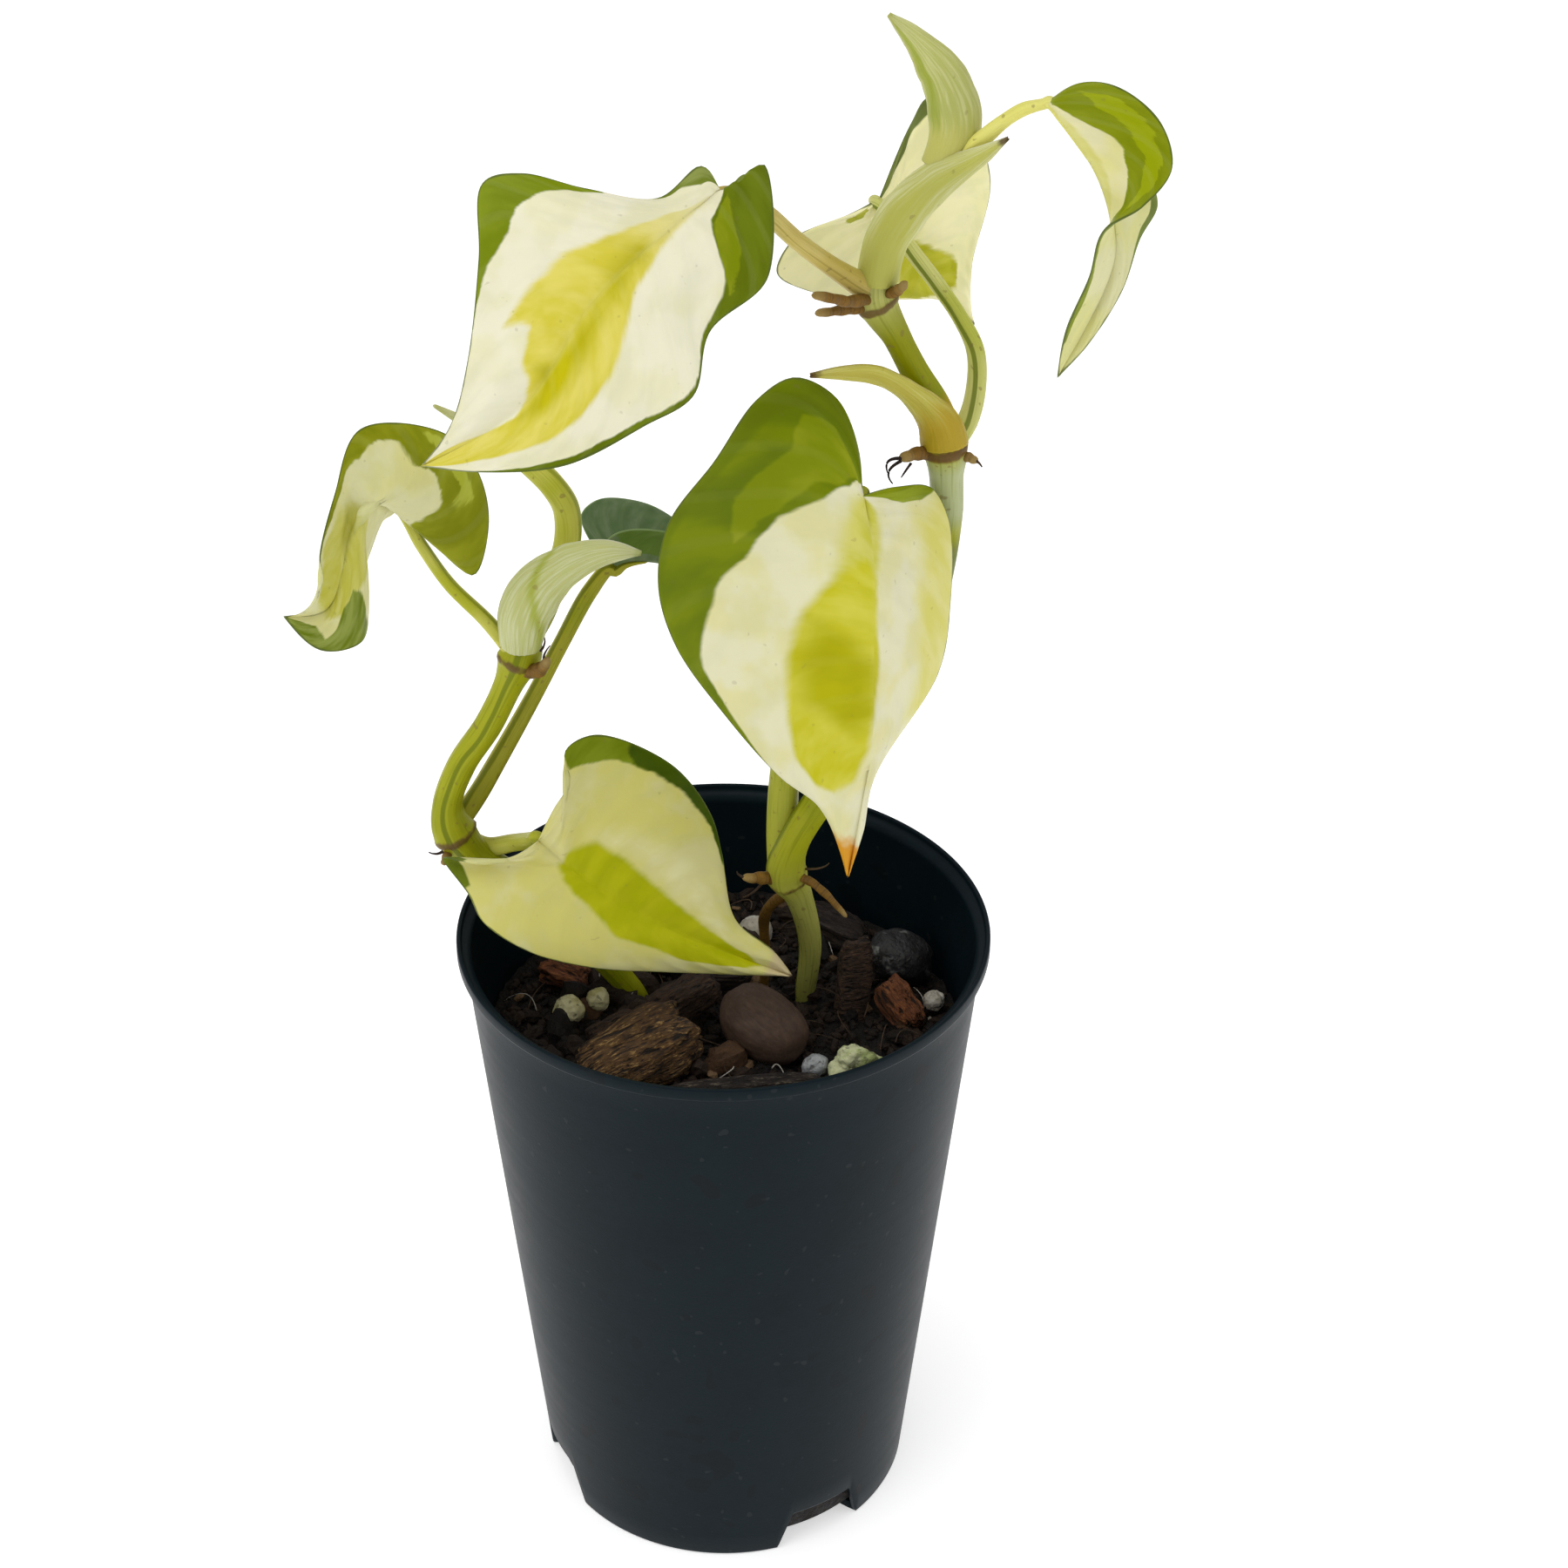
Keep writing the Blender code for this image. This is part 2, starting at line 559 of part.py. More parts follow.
def make_notch_cutter(name, angle):
    """A block, narrower at its top, that reaches through the wall and NOTCH_REACH into the floor."""
    outer = BASE_RADIUS + 4
    inner = BASE_RADIUS - NOTCH_REACH
    low = NOTCH_WIDTH / 2
    high = low - 1.0
    mesh_builder = bmesh.new()
    rings = []
    for radius in (inner, outer):
        corners = ((-low, -2), (low, -2), (low, NOTCH_HEIGHT * 0.4), (high, NOTCH_HEIGHT), (-high, NOTCH_HEIGHT))
        corners += ((-low, NOTCH_HEIGHT * 0.4),)
        rings.append([mesh_builder.verts.new((radius, across, height)) for across, height in corners])
    stitch(mesh_builder, rings)
    bmesh.ops.rotate(mesh_builder, cent=(0, 0, 0), matrix=Matrix.Rotation(angle, 3, "Z"), verts=mesh_builder.verts)
    return as_cutter(add_piece(name, mesh_builder, "pot"))


def make_mix():
    """The bark mix: it fills the pot to MIX_DEPTH below the rim and has an uneven top."""
    low = POT_FLOOR + CLEARANCE
    level = above_rim(-MIX_DEPTH)
    inset = POT_WALL + CLEARANCE
    profile = [(0, low), (wall_radius(low) - inset - 1.0, low), (wall_radius(low + 1.0) - inset, low + 1.0)]
    profile += [(wall_radius(level) - inset, level - MIX_ROUGHNESS)]
    top = wall_radius(level) - inset - 0.8
    profile += [(top * (1 - ring / MIX_RINGS), level) for ring in range(MIX_RINGS)]
    mix = revolved("potting_mix", profile + [(0, level)], MIX_SEGMENTS, "mix")
    for vertex in mix.data.vertices:
        if vertex.co.z > (level - 0.01) * MM:
            bump = noise.noise(vertex.co / MM * 0.28) + 0.5 * noise.noise(vertex.co / MM * 0.7)
            vertex.co.z += bump * MIX_ROUGHNESS * MM
    return mix


def leaf_sheet(leaf, along, across):
    """Grid of points of a blade in the leaf's own axes, from base to tip and from right to left."""
    midrib = smooth_path(leaf["midrib"], 4 * along + 1)
    left = smooth_path(leaf["left"], along + 1)
    right = smooth_path(leaf["right"], along + 1)
    rows = []
    for step in range(1, along):
        share = step / along
        middle = midrib[round(4 * along * share**1.35)]
        row = []
        for place in np.linspace(-1, 1, across + 1):
            edge = left[step] if place > 0 else right[step]
            reach = abs(place)
            point = middle + (edge - middle) * reach
            point[2] += leaf["dish"] * 4 * reach * (1 - reach)
            point[2] += leaf["wave"] * math.sin(5 * math.pi * share + 2 * place) * reach**2
            row.append(point)
        rows.append(row)
    return midrib[0], rows, midrib[-1]


def leaf_frame(leaf):
    """The matrix that takes the leaf's own axes into the pot's."""
    base = Vector(planted(leaf["base"]))
    forward = (Vector(planted(leaf["tip"])) - base).normalized()
    face = Vector(leaf["face"])
    face = (face - forward * face.dot(forward)).normalized()
    turn = Matrix((forward, face.cross(forward), face)).transposed()
    return Matrix.Translation(base) @ turn.to_4x4()


def make_blade(name, leaf, thickness):
    """A leaf blade: a sheet between its midrib and its outline, made solid."""
    base, rows, tip = leaf_sheet(leaf, 13, 6)
    mesh_builder = bmesh.new()
    first = mesh_builder.verts.new(base)
    last = mesh_builder.verts.new(tip)
    grid = [[mesh_builder.verts.new(point) for point in row] for row in rows]
    for place in range(len(grid[0]) - 1):
        mesh_builder.faces.new((first, grid[0][place + 1], grid[0][place]))
        mesh_builder.faces.new((last, grid[-1][place], grid[-1][place + 1]))
        for lower, upper in zip(grid, grid[1:]):
            mesh_builder.faces.new((lower[place], lower[place + 1], upper[place + 1], upper[place]))
    bmesh.ops.transform(mesh_builder, matrix=leaf_frame(leaf), verts=mesh_builder.verts)
    blade = add_piece(name, mesh_builder, "leaf")
    solid = blade.modifiers.new("Thickness", "SOLIDIFY")
    solid.thickness = thickness * MM
    solid.offset = 0
    return blade


def make_sheath(name, facing, points):
    """A thin channel along a path, wrapping less towards its pointed end."""
    path = smooth_path([planted(point) for point in points], 11)
    facing = Vector(facing)
    mesh_builder = bmesh.new()
    grid = []
    for point, (tangent, _, _) in zip(path, frames_along(path)):
        front = (facing - tangent * facing.dot(tangent)).normalized()
        side = tangent.cross(front)
        row = []
        for place in np.linspace(-1, 1, 7):
            angle = math.radians(point[4]) * place
            offset = (front * math.cos(angle) + side * math.sin(angle)) * point[3] * STEM_RADIUS
            row.append(mesh_builder.verts.new(Vector(point[:3]) + offset))
        grid.append(row)
    for lower, upper in zip(grid, grid[1:]):
        for place in range(len(lower) - 1):
            mesh_builder.faces.new((lower[place], lower[place + 1], upper[place + 1], upper[place]))
    sheath = add_piece(name, mesh_builder, "sheath")
    solid = sheath.modifiers.new("Thickness", "SOLIDIFY")
    solid.thickness = SHEATH_THICKNESS * MM
    solid.offset = 0
    return sheath


def lump(name, centre, size, turn, roughness, blocky, kind):
    """A chip or grain: a ball or a block with its surface pushed in and out by noise."""
    mesh_builder = bmesh.new()
    if blocky:
        bmesh.ops.create_cube(mesh_builder, size=1)
        bmesh.ops.subdivide_edges(mesh_builder, edges=mesh_builder.edges, cuts=2, use_grid_fill=True)
    else:
        bmesh.ops.create_icosphere(mesh_builder, subdivisions=2, radius=0.5)
    seed = Vector(centre)
    for vertex in mesh_builder.verts:
        if blocky:
            vertex.co = vertex.co * (1 - 0.45 * max(vertex.co.length - 0.55, 0))
        push = noise.noise(vertex.co * 2.6 + seed) + 0.6 * noise.noise(vertex.co * 6 + seed)
        vertex.co *= 1 + roughness * push
    for vertex in mesh_builder.verts:
        vertex.co = Vector((vertex.co.x * size[0], vertex.co.y * size[1], vertex.co.z * size[2])) * SPREAD
    bmesh.ops.triangulate(mesh_builder, faces=mesh_builder.faces)
    piece = add_piece(name, mesh_builder, kind)
    piece.location = Vector((centre[0] * SPREAD, centre[1] * SPREAD, above_rim(centre[2]))) * MM
    piece.rotation_euler = Euler([math.radians(angle) for angle in turn])
    return piece


def make_topping(mix):
    """Bark chips, stones and grains of perlite, each bedded in its own hollow in the mix."""
    for pieces, blocky in ((BARK, True), (STONES, False)):
        for name, (centre, size, turn, roughness) in pieces.items():
            kind = "bark" if blocky else "perlite" if name.startswith("perlite") else "stone"
            lump(name, centre, size, turn, roughness, blocky, kind)
            room = [side + 2 * CLEARANCE / SPREAD for side in size]
            hollow = lump(name + "_hollow", centre, room, turn, roughness, blocky, kind)
            cut(mix, as_cutter(hollow))


def stem_path(points, count):
    """A vine's path, with its radius in millimetres."""
    placed = [planted(point) for point in points]
    return smooth_path([(*point[:3], point[3] * STEM_RADIUS) for point in placed], count)


def make_vines(mix):
    """The two stems, rooted in sockets in the mix, and a thicker copy of each that cuts what meets it."""
    cutters = {}
    for name, points, count in (("main_vine", MAIN_VINE, 40), ("side_vine", SIDE_VINE, 28)):
        path = stem_path(points, count)
        tube(name, path, STEM_SIDES, "stem")
        cutters[name] = as_cutter(tube(name + "_room", thicker(path, CLEARANCE), STEM_SIDES, "stem"))
        cut(mix, cutters[name])
    return cutters


def make_leaves():
    """Each blade, and a thicker copy of it that its stalk stops at."""
    cutters = {}
    for name, leaf in LEAVES.items():
        make_blade(name, leaf, LEAF_THICKNESS)
        cutters[name] = as_cutter(make_blade(name + "_room", leaf, LEAF_THICKNESS + 2 * CLEARANCE))
    rolled = smooth_path([planted(point) for point in ROLLED_LEAF], 12)
    tube("leaf_new_rolled", rolled, PETIOLE_SIDES, "leaf")
    room = tube("leaf_new_rolled_room", thicker(rolled, CLEARANCE), PETIOLE_SIDES, "leaf")
    cutters["leaf_new_rolled"] = as_cutter(room)
    return cutters


def make_petioles(vines, leaves):
    for name, (vine, leaf, points) in PETIOLES.items():
        placed = [planted(point) for point in points]
        path = smooth_path([(*point[:3], point[3] * PETIOLE_RADIUS) for point in placed], 5 + 2 * len(points))
        petiole = tube(name, path, PETIOLE_SIDES, "stem")
        cut(petiole, vines[vine])
        cut(petiole, leaves[leaf])


def make_roots(mix, vines):
    for name, (vine, points) in ROOTS.items():
        path = smooth_path([planted(point) for point in points], 5 + 2 * len(points))
        cut(tube(name, path, ROOT_SIDES, "root"), vines[vine])
        if points[-1][2] < -MIX_DEPTH:
            channel = tube(name + "_channel", thicker(path, CLEARANCE), ROOT_SIDES, "root")
            cut(mix, as_cutter(channel))


clear_scene()
make_pot()
potting_mix = make_mix()
make_topping(potting_mix)
vine_room = make_vines(potting_mix)
leaf_room = make_leaves()
make_petioles(vine_room, leaf_room)
make_roots(potting_mix, vine_room)
for sheath_name, (facing_way, axis_points) in SHEATHS.items():
    make_sheath(sheath_name, facing_way, axis_points)
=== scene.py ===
"""A young variegated philodendron: two vines in a small round nursery pot of bark mix.

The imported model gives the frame. Every piece below is worked out in millimetres from the same
paths, outlines and sizes as the model, on a finer grid, and becomes metres when its mesh is made.
Heights of the plant and of what lies in the pot are given above the rim.
"""

import math

import bpy
import numpy as np
from mathutils import Euler, Matrix, Vector


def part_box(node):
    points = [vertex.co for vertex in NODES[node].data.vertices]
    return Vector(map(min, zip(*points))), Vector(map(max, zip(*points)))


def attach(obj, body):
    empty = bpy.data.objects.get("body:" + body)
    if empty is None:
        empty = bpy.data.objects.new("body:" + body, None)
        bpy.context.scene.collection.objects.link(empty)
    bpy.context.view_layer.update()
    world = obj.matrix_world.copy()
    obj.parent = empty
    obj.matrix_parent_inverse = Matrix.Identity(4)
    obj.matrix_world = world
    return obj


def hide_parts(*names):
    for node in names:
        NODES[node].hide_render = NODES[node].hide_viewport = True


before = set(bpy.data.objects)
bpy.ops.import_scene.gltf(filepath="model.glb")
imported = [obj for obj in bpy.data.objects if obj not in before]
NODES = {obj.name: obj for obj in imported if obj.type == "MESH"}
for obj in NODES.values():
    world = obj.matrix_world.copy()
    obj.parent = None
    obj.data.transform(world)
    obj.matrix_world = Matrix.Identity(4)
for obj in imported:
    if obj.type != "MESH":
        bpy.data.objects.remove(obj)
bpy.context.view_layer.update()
MM = 0.001
RIM_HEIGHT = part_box("pot")[1].z / MM
RIM_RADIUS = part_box("pot")[1].x / MM

# Pot
BASE_RADIUS = 23.4
LIP_OVERHANG = 0.9
LIP_HEIGHT = 1.7
LIP_WALL = 0.55
POT_WALL = 0.8
POT_FLOOR = 1.2
NOTCH_WIDTH = 12.0
NOTCH_HEIGHT = 6.0
NOTCH_REACH = 8.0
NOTCH_ANGLES = (-59, -157, -239, -337)
WALL_TOP_RADIUS = RIM_RADIUS - LIP_OVERHANG
MIX_DEPTH = 15.0

# Plant
STEM_RADIUS = 2.0
PETIOLE_RADIUS = 1.2
LEAF_THICKNESS = 0.42
SHEATH_THICKNESS = 0.3

# Vines: x, y, height above the rim, and a share of STEM_RADIUS (over 1.15 at a node).
VINES = {
    "main_vine": (
        (10, 8, -40, 0.8), (10, 7, -28, 0.7), (10, 6, -16, 0.62), (10.5, 3, -4.5, 0.7), (9, 1, 3.5, 0.85),
        (7.5, 0, 7.5, 1.2), (8.2, -1.2, 12.5, 0.95), (13.2, -0.6, 21.5, 0.95), (20.6, 3.6, 31.5, 1),
        (23.9, 5, 42.5, 0.97),
        (25.2, 5.8, 52, 0.95), (25, 4.8, 57.5, 0.97), (24.7, 4, 61, 1.2), (23.5, 4, 66, 0.88),
        (21, 4, 70.5, 0.78), (19, 4, 74.5, 0.78),
        (16.5, 4, 79.5, 1.12), (17.2, 3.5, 84, 0.85), (19.8, 2, 89.8, 0.85), (23.6, 0.8, 95, 0.9),
    ),
    "side_vine": (
        (-10.5, 7, -38, 0.8), (-10.5, 6, -26, 0.75), (-10.5, 5, -15.5, 0.72), (-13, 5, -11, 0.78),
        (-19, 4.5, -3, 0.85), (-25, 4, 4, 0.9), (-29.5, 3.5, 8, 0.95), (-32, 3, 12, 1.25),
        (-32.5, 3, 15.5, 0.9),
        (-30.6, 3, 21, 0.84), (-27.2, 3, 26.5, 0.82), (-24.6, 3, 32, 0.85), (-23, 3, 36, 1.2),
        (-22.3, 3.3, 38, 0.9),
    ),
}

# Leaf stalks: points from the vine's middle to the blade, each with a share of PETIOLE_RADIUS.
PETIOLES = {
    "upper_left": (
        (16.5, 4, 79.5, 1.3), (12, 0, 84, 1), (8, -5, 89, 1), (4, -10, 94.5, 0.95), (0.6, -12.8, 97.2, 0.8),
    ),
    "centre": (
        (7.5, 0, 7.5, 1.3), (7, 1, 13.5, 1.2), (7.2, 1.2, 20.5, 1.2), (8.5, 1, 32, 1.1),
        (11.5, 1, 42.5, 1.05), (14.3, -0.5, 52.5, 1), (15.2, -4.6, 60, 0.8),
    ),
    "lower_left": (
        (-32, 3, 12, 1.1), (-28.5, 4.5, 8.5, 1), (-25, 3, 10, 0.9), (-22.3, -1, 13, 0.85),
        (-21.6, -3.1, 14.6, 0.7),
    ),
    "curled": (
        (-23.6, 3, 35.7, 1.1), (-26.6, 1, 41.4, 1), (-30.2, -1, 47, 1), (-32.8, -3.6, 53.4, 0.9),
        (-34.7, -4.7, 58.1, 0.7),
    ),
    "back_green": (
        (-32, 3, 12, 1.1), (-29.3, 6, 14.7, 1.1), (-26.6, 6.6, 19.4, 1.1), (-22, 7.5, 27.8, 1.05),
        (-18.6, 8.5, 34.3, 1), (-15.2, 9.2, 40.6, 1), (-12.9, 9.9, 43.2, 0.8),
    ),
    "top_right": (
        (24, 0.6, 95.2, 1.1), (27.3, -0.6, 98.7, 1.1), (29, -1.5, 100.6, 1.05), (30.8, -2.6, 102.2, 1),
        (32.6, -3.4, 103, 0.8),
    ),
    "back_upper": (
        (24.7, 4, 61, 1.2), (27.3, 7, 63, 1.1), (28.3, 9, 66.2, 1.1), (28.2, 11, 69.8, 1.1),
        (26.5, 12.5, 73, 1), (23.8, 13.5, 76.7, 1), (20.8, 13.8, 80.6, 1), (17.8, 13.9, 85, 0.8),
    ),
    "new_leaf": (
        (-22.3, 3.3, 37.5, 1.1), (-20.6, 4.2, 40, 1), (-19, 5, 44.1, 1), (-17.4, 6, 48.9, 1),
        (-17.5, 7, 52.4, 1), (-18.9, 7, 55.2, 1), (-21, 7, 57.6, 1), (-22.5, 7, 58.9, 0.95),
    ),
}
ROLLED_LEAF = ((-21.5, 7, 58.1, 1.05), (-24.4, 7, 60.5, 1.3), (-27, 6.5, 62.5, 0.9), (-31.5, 5.2, 66, 0.2))

# Leaf blades. `base` and `tip` are the ends of the midrib and `face` is the way its upper side
# looks. The midrib and the two halves of the outline run from base to tip, as distances along the
# leaf, to its left and out of its upper side.
LEAVES = {
    "upper_left": {
        "base": (0, -14, 98), "tip": (-29.5, -28, 75), "face": (0.1, -0.9, 0.43),
        "midrib": ((0, 0, 0), (16, -0.5, 0.5), (28.5, 2.5, -1), (40, 0, 0)),
        "left": (
            (0, 0, 0), (-2, 1, 0), (-5, 1, 0), (2, 9.5, -1), (10, 9.5, 0),
            (15.5, 13, 1), (21, 12, 0), (29.5, 9.5, 1), (36, 4.5, 0), (40, 0, 0),
        ),
        "right": (
            (0, 0, 0), (0, -3, 2), (5, -3.5, 0), (10, -9, 2.5), (13.5, -14, 3),
            (17, -16, -1), (22, -11, -1.5), (29.5, -4.5, -2.5), (35, -1, -2), (40, 0, 0),
        ),
        "dish": 0.4, "wave": 0.3,
    },
    "centre": {
        "base": (15, -6, 60.5), "tip": (14, -15, 17), "face": (-0.05, -0.98, 0.2),
        "midrib": ((0, 0, 0), (6.5, 1.5, 1.5), (18, 2, 1.5), (30, 2, 0.5), (44.5, 0, 0)),
        "left": (
            (0, 0, 0), (0, 4, -4), (1.5, 8, -9), (5.5, 10, -10), (14, 10.5, -9),
            (22.5, 9.5, -8), (33, 2.5, -2), (39, 1.5, -0.5), (44.5, 0, 0),
        ),
        "right": (
            (0, 0, 0), (-5, -0.5, -1), (-10, -3, -2.5), (-12, -7.5, -3), (-9.5, -11.5, -3),
            (-2.5, -16, -3), (5, -21, -3.5), (12, -22, -3.5), (18.5, -20, -3), (26, -14.5, -2),
            (33, -8, -1), (36, -3.5, 0), (44.5, 0, 0),
        ),
        "dish": 0.8, "wave": 0.2,
    },
    "lower_left": {
        "base": (-21.5, -4, 15), "tip": (8, -9, -1), "face": (0.07, -0.91, 0.41),
        "midrib": ((0, 0, 0), (10, -2, 0), (19.5, -2, 0), (34, 0, 0)),
        "left": (
            (0, 0, 0), (-0.2, 4, 0.5), (-0.2, 8, 1), (-2.3, 10.7, 1), (0, 14, -0.5), (9.5, 15, -2),
            (16.5, 12, -3), (20, 8.5, -3), (25, 2.5, -2), (30.5, 1.5, -0.5), (34, 0, 0),
        ),
        "right": (
            (0, 0, 0), (-1.6, -3, 0.5), (-4.4, -5.6, 0), (-7, -6.5, 0), (-8.5, -7.6, -3),
            (-4, -9.5, 0), (-1, -11.5, 0.5), (5, -12, 1), (11.5, -10.5, 1), (20, -7, 0), (34, 0, 0),
        ),
        "dish": 0.6, "wave": 0.2,
    },
    "curled": {
        "base": (-35, -6, 59.5), "tip": (-46, -20, 53.5), "face": (0.73, -0.66, 0.19),
        "midrib": ((0, 0, 0), (3, -3, 1.5), (5.5, -4, 2.5), (10, 0, 1.5), (13.5, 3, 0.5), (18.5, 0, 0)),
        "left": (
            (0, 0, 0), (0, 1.5, -1.5), (1.5, 1.5, -2), (5, 3, -1.5), (8, 4.5, -1),
            (8.5, 7.5, -1), (12, 9, 0.5), (17, 6, 0.5), (18.5, 0, 0),
        ),
        "right": (
            (0, 0, 0), (-2, 6.5, 0.5), (-3, 12, 2.5), (-8, 9, 2), (-10, 3, 2), (-8.5, -3.5, 2),
            (-1, -9.5, -0.5), (6.5, -7, 1), (12.5, -4, 2.5), (13.5, -1, 2), (16, 1, 1), (18.5, 0, 0),
        ),
        "dish": 0.2, "wave": 0.0,
    },
    "back_green": {
        "base": (-12.5, 10, 43.5), "tip": (2, 12, 40), "face": (0.22, 0.1, 0.97),
        "midrib": ((0, 0, 0), (2, -0.5, 1.5), (8, 0, 1.5), (15, 0, 0.5)),
        "left": ((0, 0, 0), (-3, 4, 1.5), (-3.5, 7, 3), (-1, 9, 4.5), (5, 8, 5), (15, 0, 0.5)),
        "right": ((0, 0, 0), (-2, -2, 3), (-1, -3.5, 5.5), (4, -4.5, 7), (9, -3, 5), (15, 0, 0.5)),
        "dish": 0.2, "wave": 0.0,
    },
    "top_right": {
        "base": (33, -4, 103.5), "tip": (35, -9, 75.5), "face": (-0.08, -0.98, 0.17),
        "midrib": ((0, 0, 0), (1, 1, 3), (6.5, 4.5, 4.5), (12, 6, 2), (17, 6, 0), (28.5, 0, 0)),
        "left": (
            (0, 0, 0), (-2, 3.5, 2), (-1.5, 7, 3), (2, 11, 4), (6.5, 12, 5),
            (10, 9, 5.5), (12, 5, 6.5), (17, 3.5, 4.5), (23, 1, 2), (28.5, 0, 0),
        ),
        "right": (
            (0, 0, 0), (3, 2, -4), (6.5, 4.5, -6.5), (9.5, 10, -6.5), (12, 11, -4.5),
            (15, 9, -2.5), (20, 7, -1.5), (25, 3.5, -0.5), (28.5, 0, 0),
        ),
        "dish": 0.2, "wave": 0.0,
    },
    "back_upper": {
        "base": (17, 15, 85.5), "tip": (29.5, 28, 65.5), "face": (0.45, -0.85, -0.27),
        "midrib": ((0, 0, 0), (13, 0, 0), (27, 0, 0)),
        "left": (
            (0, 0, 0), (-1.5, 8.5, -4), (-3, 11.5, -4), (-0.5, 13.5, -3), (9.5, 11.5, 0), (18, 4, 0),
            (27, 0, 0),
        ),
        "right": (
            (0, 0, 0), (-1, -3, 0), (-4.5, -9, 0), (-2, -13, 0), (4, -12, 0), (15.5, -4.5, 0), (20, -1, 0),
            (27, 0, 0),
        ),
        "dish": 0.3, "wave": 0.3,
    },
}

# Sheaths: the way their closed side faces, and points along their axis with the sheath's radius as
# a share of STEM_RADIUS and how far it wraps each way, in degrees.
SHEATHS = {
    "sheath_dried": (
        (-0.3, -1, 0),
        (
            (24.7, 4, 62, 1.35, 95), (23.8, 3.8, 65.5, 1.3, 75), (20.9, 2.6, 69.2, 1.05, 52),
            (17.2, 1, 71.9, 0.88, 48), (13.3, 0, 72.6, 0.78, 42), (9.2, -1, 72.8, 0.7, 12),
        ),
    ),
    "sheath_upper": (
        (-0.1, -1, 0.1),
        (
            (16.7, 3.5, 81.3, 1.05, 150), (17.6, 3, 86, 1.1, 145), (19.7, 2, 90, 1.14, 135),
            (22.4, 0.8, 93.5, 1.05, 95), (26.1, -0.6, 96.4, 0.75, 70), (29.6, -2, 99.3, 0.5, 14),
        ),
    ),
    "sheath_top": (
        (0.2, -1, 0.2),
        (
            (23, 1.6, 94.4, 1.1, 120), (24.2, 2.1, 98, 1.3, 115), (24, 2.6, 100.8, 1.34, 110),
            (22.7, 3.2, 103.8, 1.22, 90), (20.4, 4, 106.6, 0.95, 60), (17.3, 5.2, 109.3, 0.8, 12),
        ),
    ),
    "sheath_translucent": (
        (0, -1, 0.3),
        (
            (-22.8, 1.5, 38.2, 1.2, 80), (-22.1, 1, 42.6, 1.55, 85), (-19.9, 0.6, 46.6, 1.55, 80),
            (-16.3, 0.5, 49.4, 1.25, 65), (-12.8, 0.7, 50.5, 1.05, 50), (-9.1, 1, 50.2, 0.8, 12),
        ),
    ),
}

# Roots: points with a radius.
ROOTS = {
    "aerial_root_high": (
        (16, 3, 79.4, 0.7), (13.3, -1.2, 80.8, 0.6), (11.3, -3.2, 82.1, 0.56), (9.5, -4, 82.7, 0.42),
    ),
    "aerial_root_high_lower": ((16, 3.5, 78.2, 0.6), (12.5, 0.8, 78.9, 0.55), (10, -0.2, 79, 0.42)),
    "aerial_root_middle_left": ((24, 4, 60.6, 0.75), (21.4, 2, 61.5, 0.75), (19.5, 0.8, 61.4, 0.5)),
    "aerial_root_middle_right": ((25.5, 3.5, 60.8, 0.6), (28.2, 2.4, 60.2, 0.4)),
    "aerial_root_low_left": ((7.5, 0, 7, 0.9), (3.8, -1.8, 8, 0.7), (2.2, -2.6, 8.6, 0.35)),
    "aerial_root_low_right": ((8, 0, 7.5, 0.6), (11, -3, 7.6, 0.5), (14.5, -5, 4.5, 0.3)),
    "aerial_root_down": ((8, 1, 4, 0.7), (5.2, 3, 0, 0.65), (5, 5, -7, 0.6), (5, 6.5, -16, 0.5)),
    "aerial_root_side": ((-23, 2.8, 34, 0.9), (-20.8, 0.2, 35.4, 0.8), (-19.6, -0.9, 37.6, 0.35)),
    "aerial_root_side_low": ((-32, 2.5, 10.5, 0.6), (-33, -0.6, 9.4, 0.35)),
    "aerial_root_nub": ((17.8, 2.6, 80, 0.6), (18.9, 1, 81.2, 0.55), (19.7, 0.6, 82.3, 0.4)),
}

# What lies on the mix: its middle (height above the rim), size, turn in degrees, how rough it is and
# its look.
BARK = {
    "bark_front": ((-10.6, -10.4, -11.8), (15.5, 8.5, 7), (8, -14, 24), 0.16, "golden"),
    "bark_centre": ((-5, 0.6, -11.6), (9.2, 4.8, 4.6), (0, -14, 30), 0.16, "brown"),
    "bark_left": ((-13.4, -2.8, -13.6), (7, 3.8, 3), (20, 0, 40), 0.14, "brown"),
    "bark_back": ((-1, 8, -13.4), (8, 4, 3.5), (10, 5, 8), 0.14, "dark"),
    "bark_orange_left": ((-20, 8.4, -13), (6, 4, 3), (15, 10, -20), 0.16, "orange"),
    "bark_flake": ((15.9, 3, -11.2), (4.6, 2.2, 11.5), (-14, 12, 25), 0.12, "brown"),
    "bark_orange_right": ((21.6, 0.8, -12.8), (7, 3.8, 5), (10, 25, -50), 0.16, "orange"),
    "bark_sliver": ((2.2, -14.6, -13.1), (19, 2.6, 2), (0, -3, 4), 0.08, "sliver"),
    "bark_front_low": ((-6, -22, -14), (11, 5.5, 4), (6, 4, -14), 0.16, "dark"),
    "bark_front_right": ((10.5, -20, -14), (9, 5, 4), (-8, 4, 40), 0.16, "dark"),
    "bark_rear": ((-8, 18, -13.8), (11, 6, 4.5), (5, -8, 15), 0.16, "brown"),
    "bark_rear_right": ((14, 18.5, -13.6), (9, 5.5, 4), (-5, 10, -30), 0.16, "dark"),
}
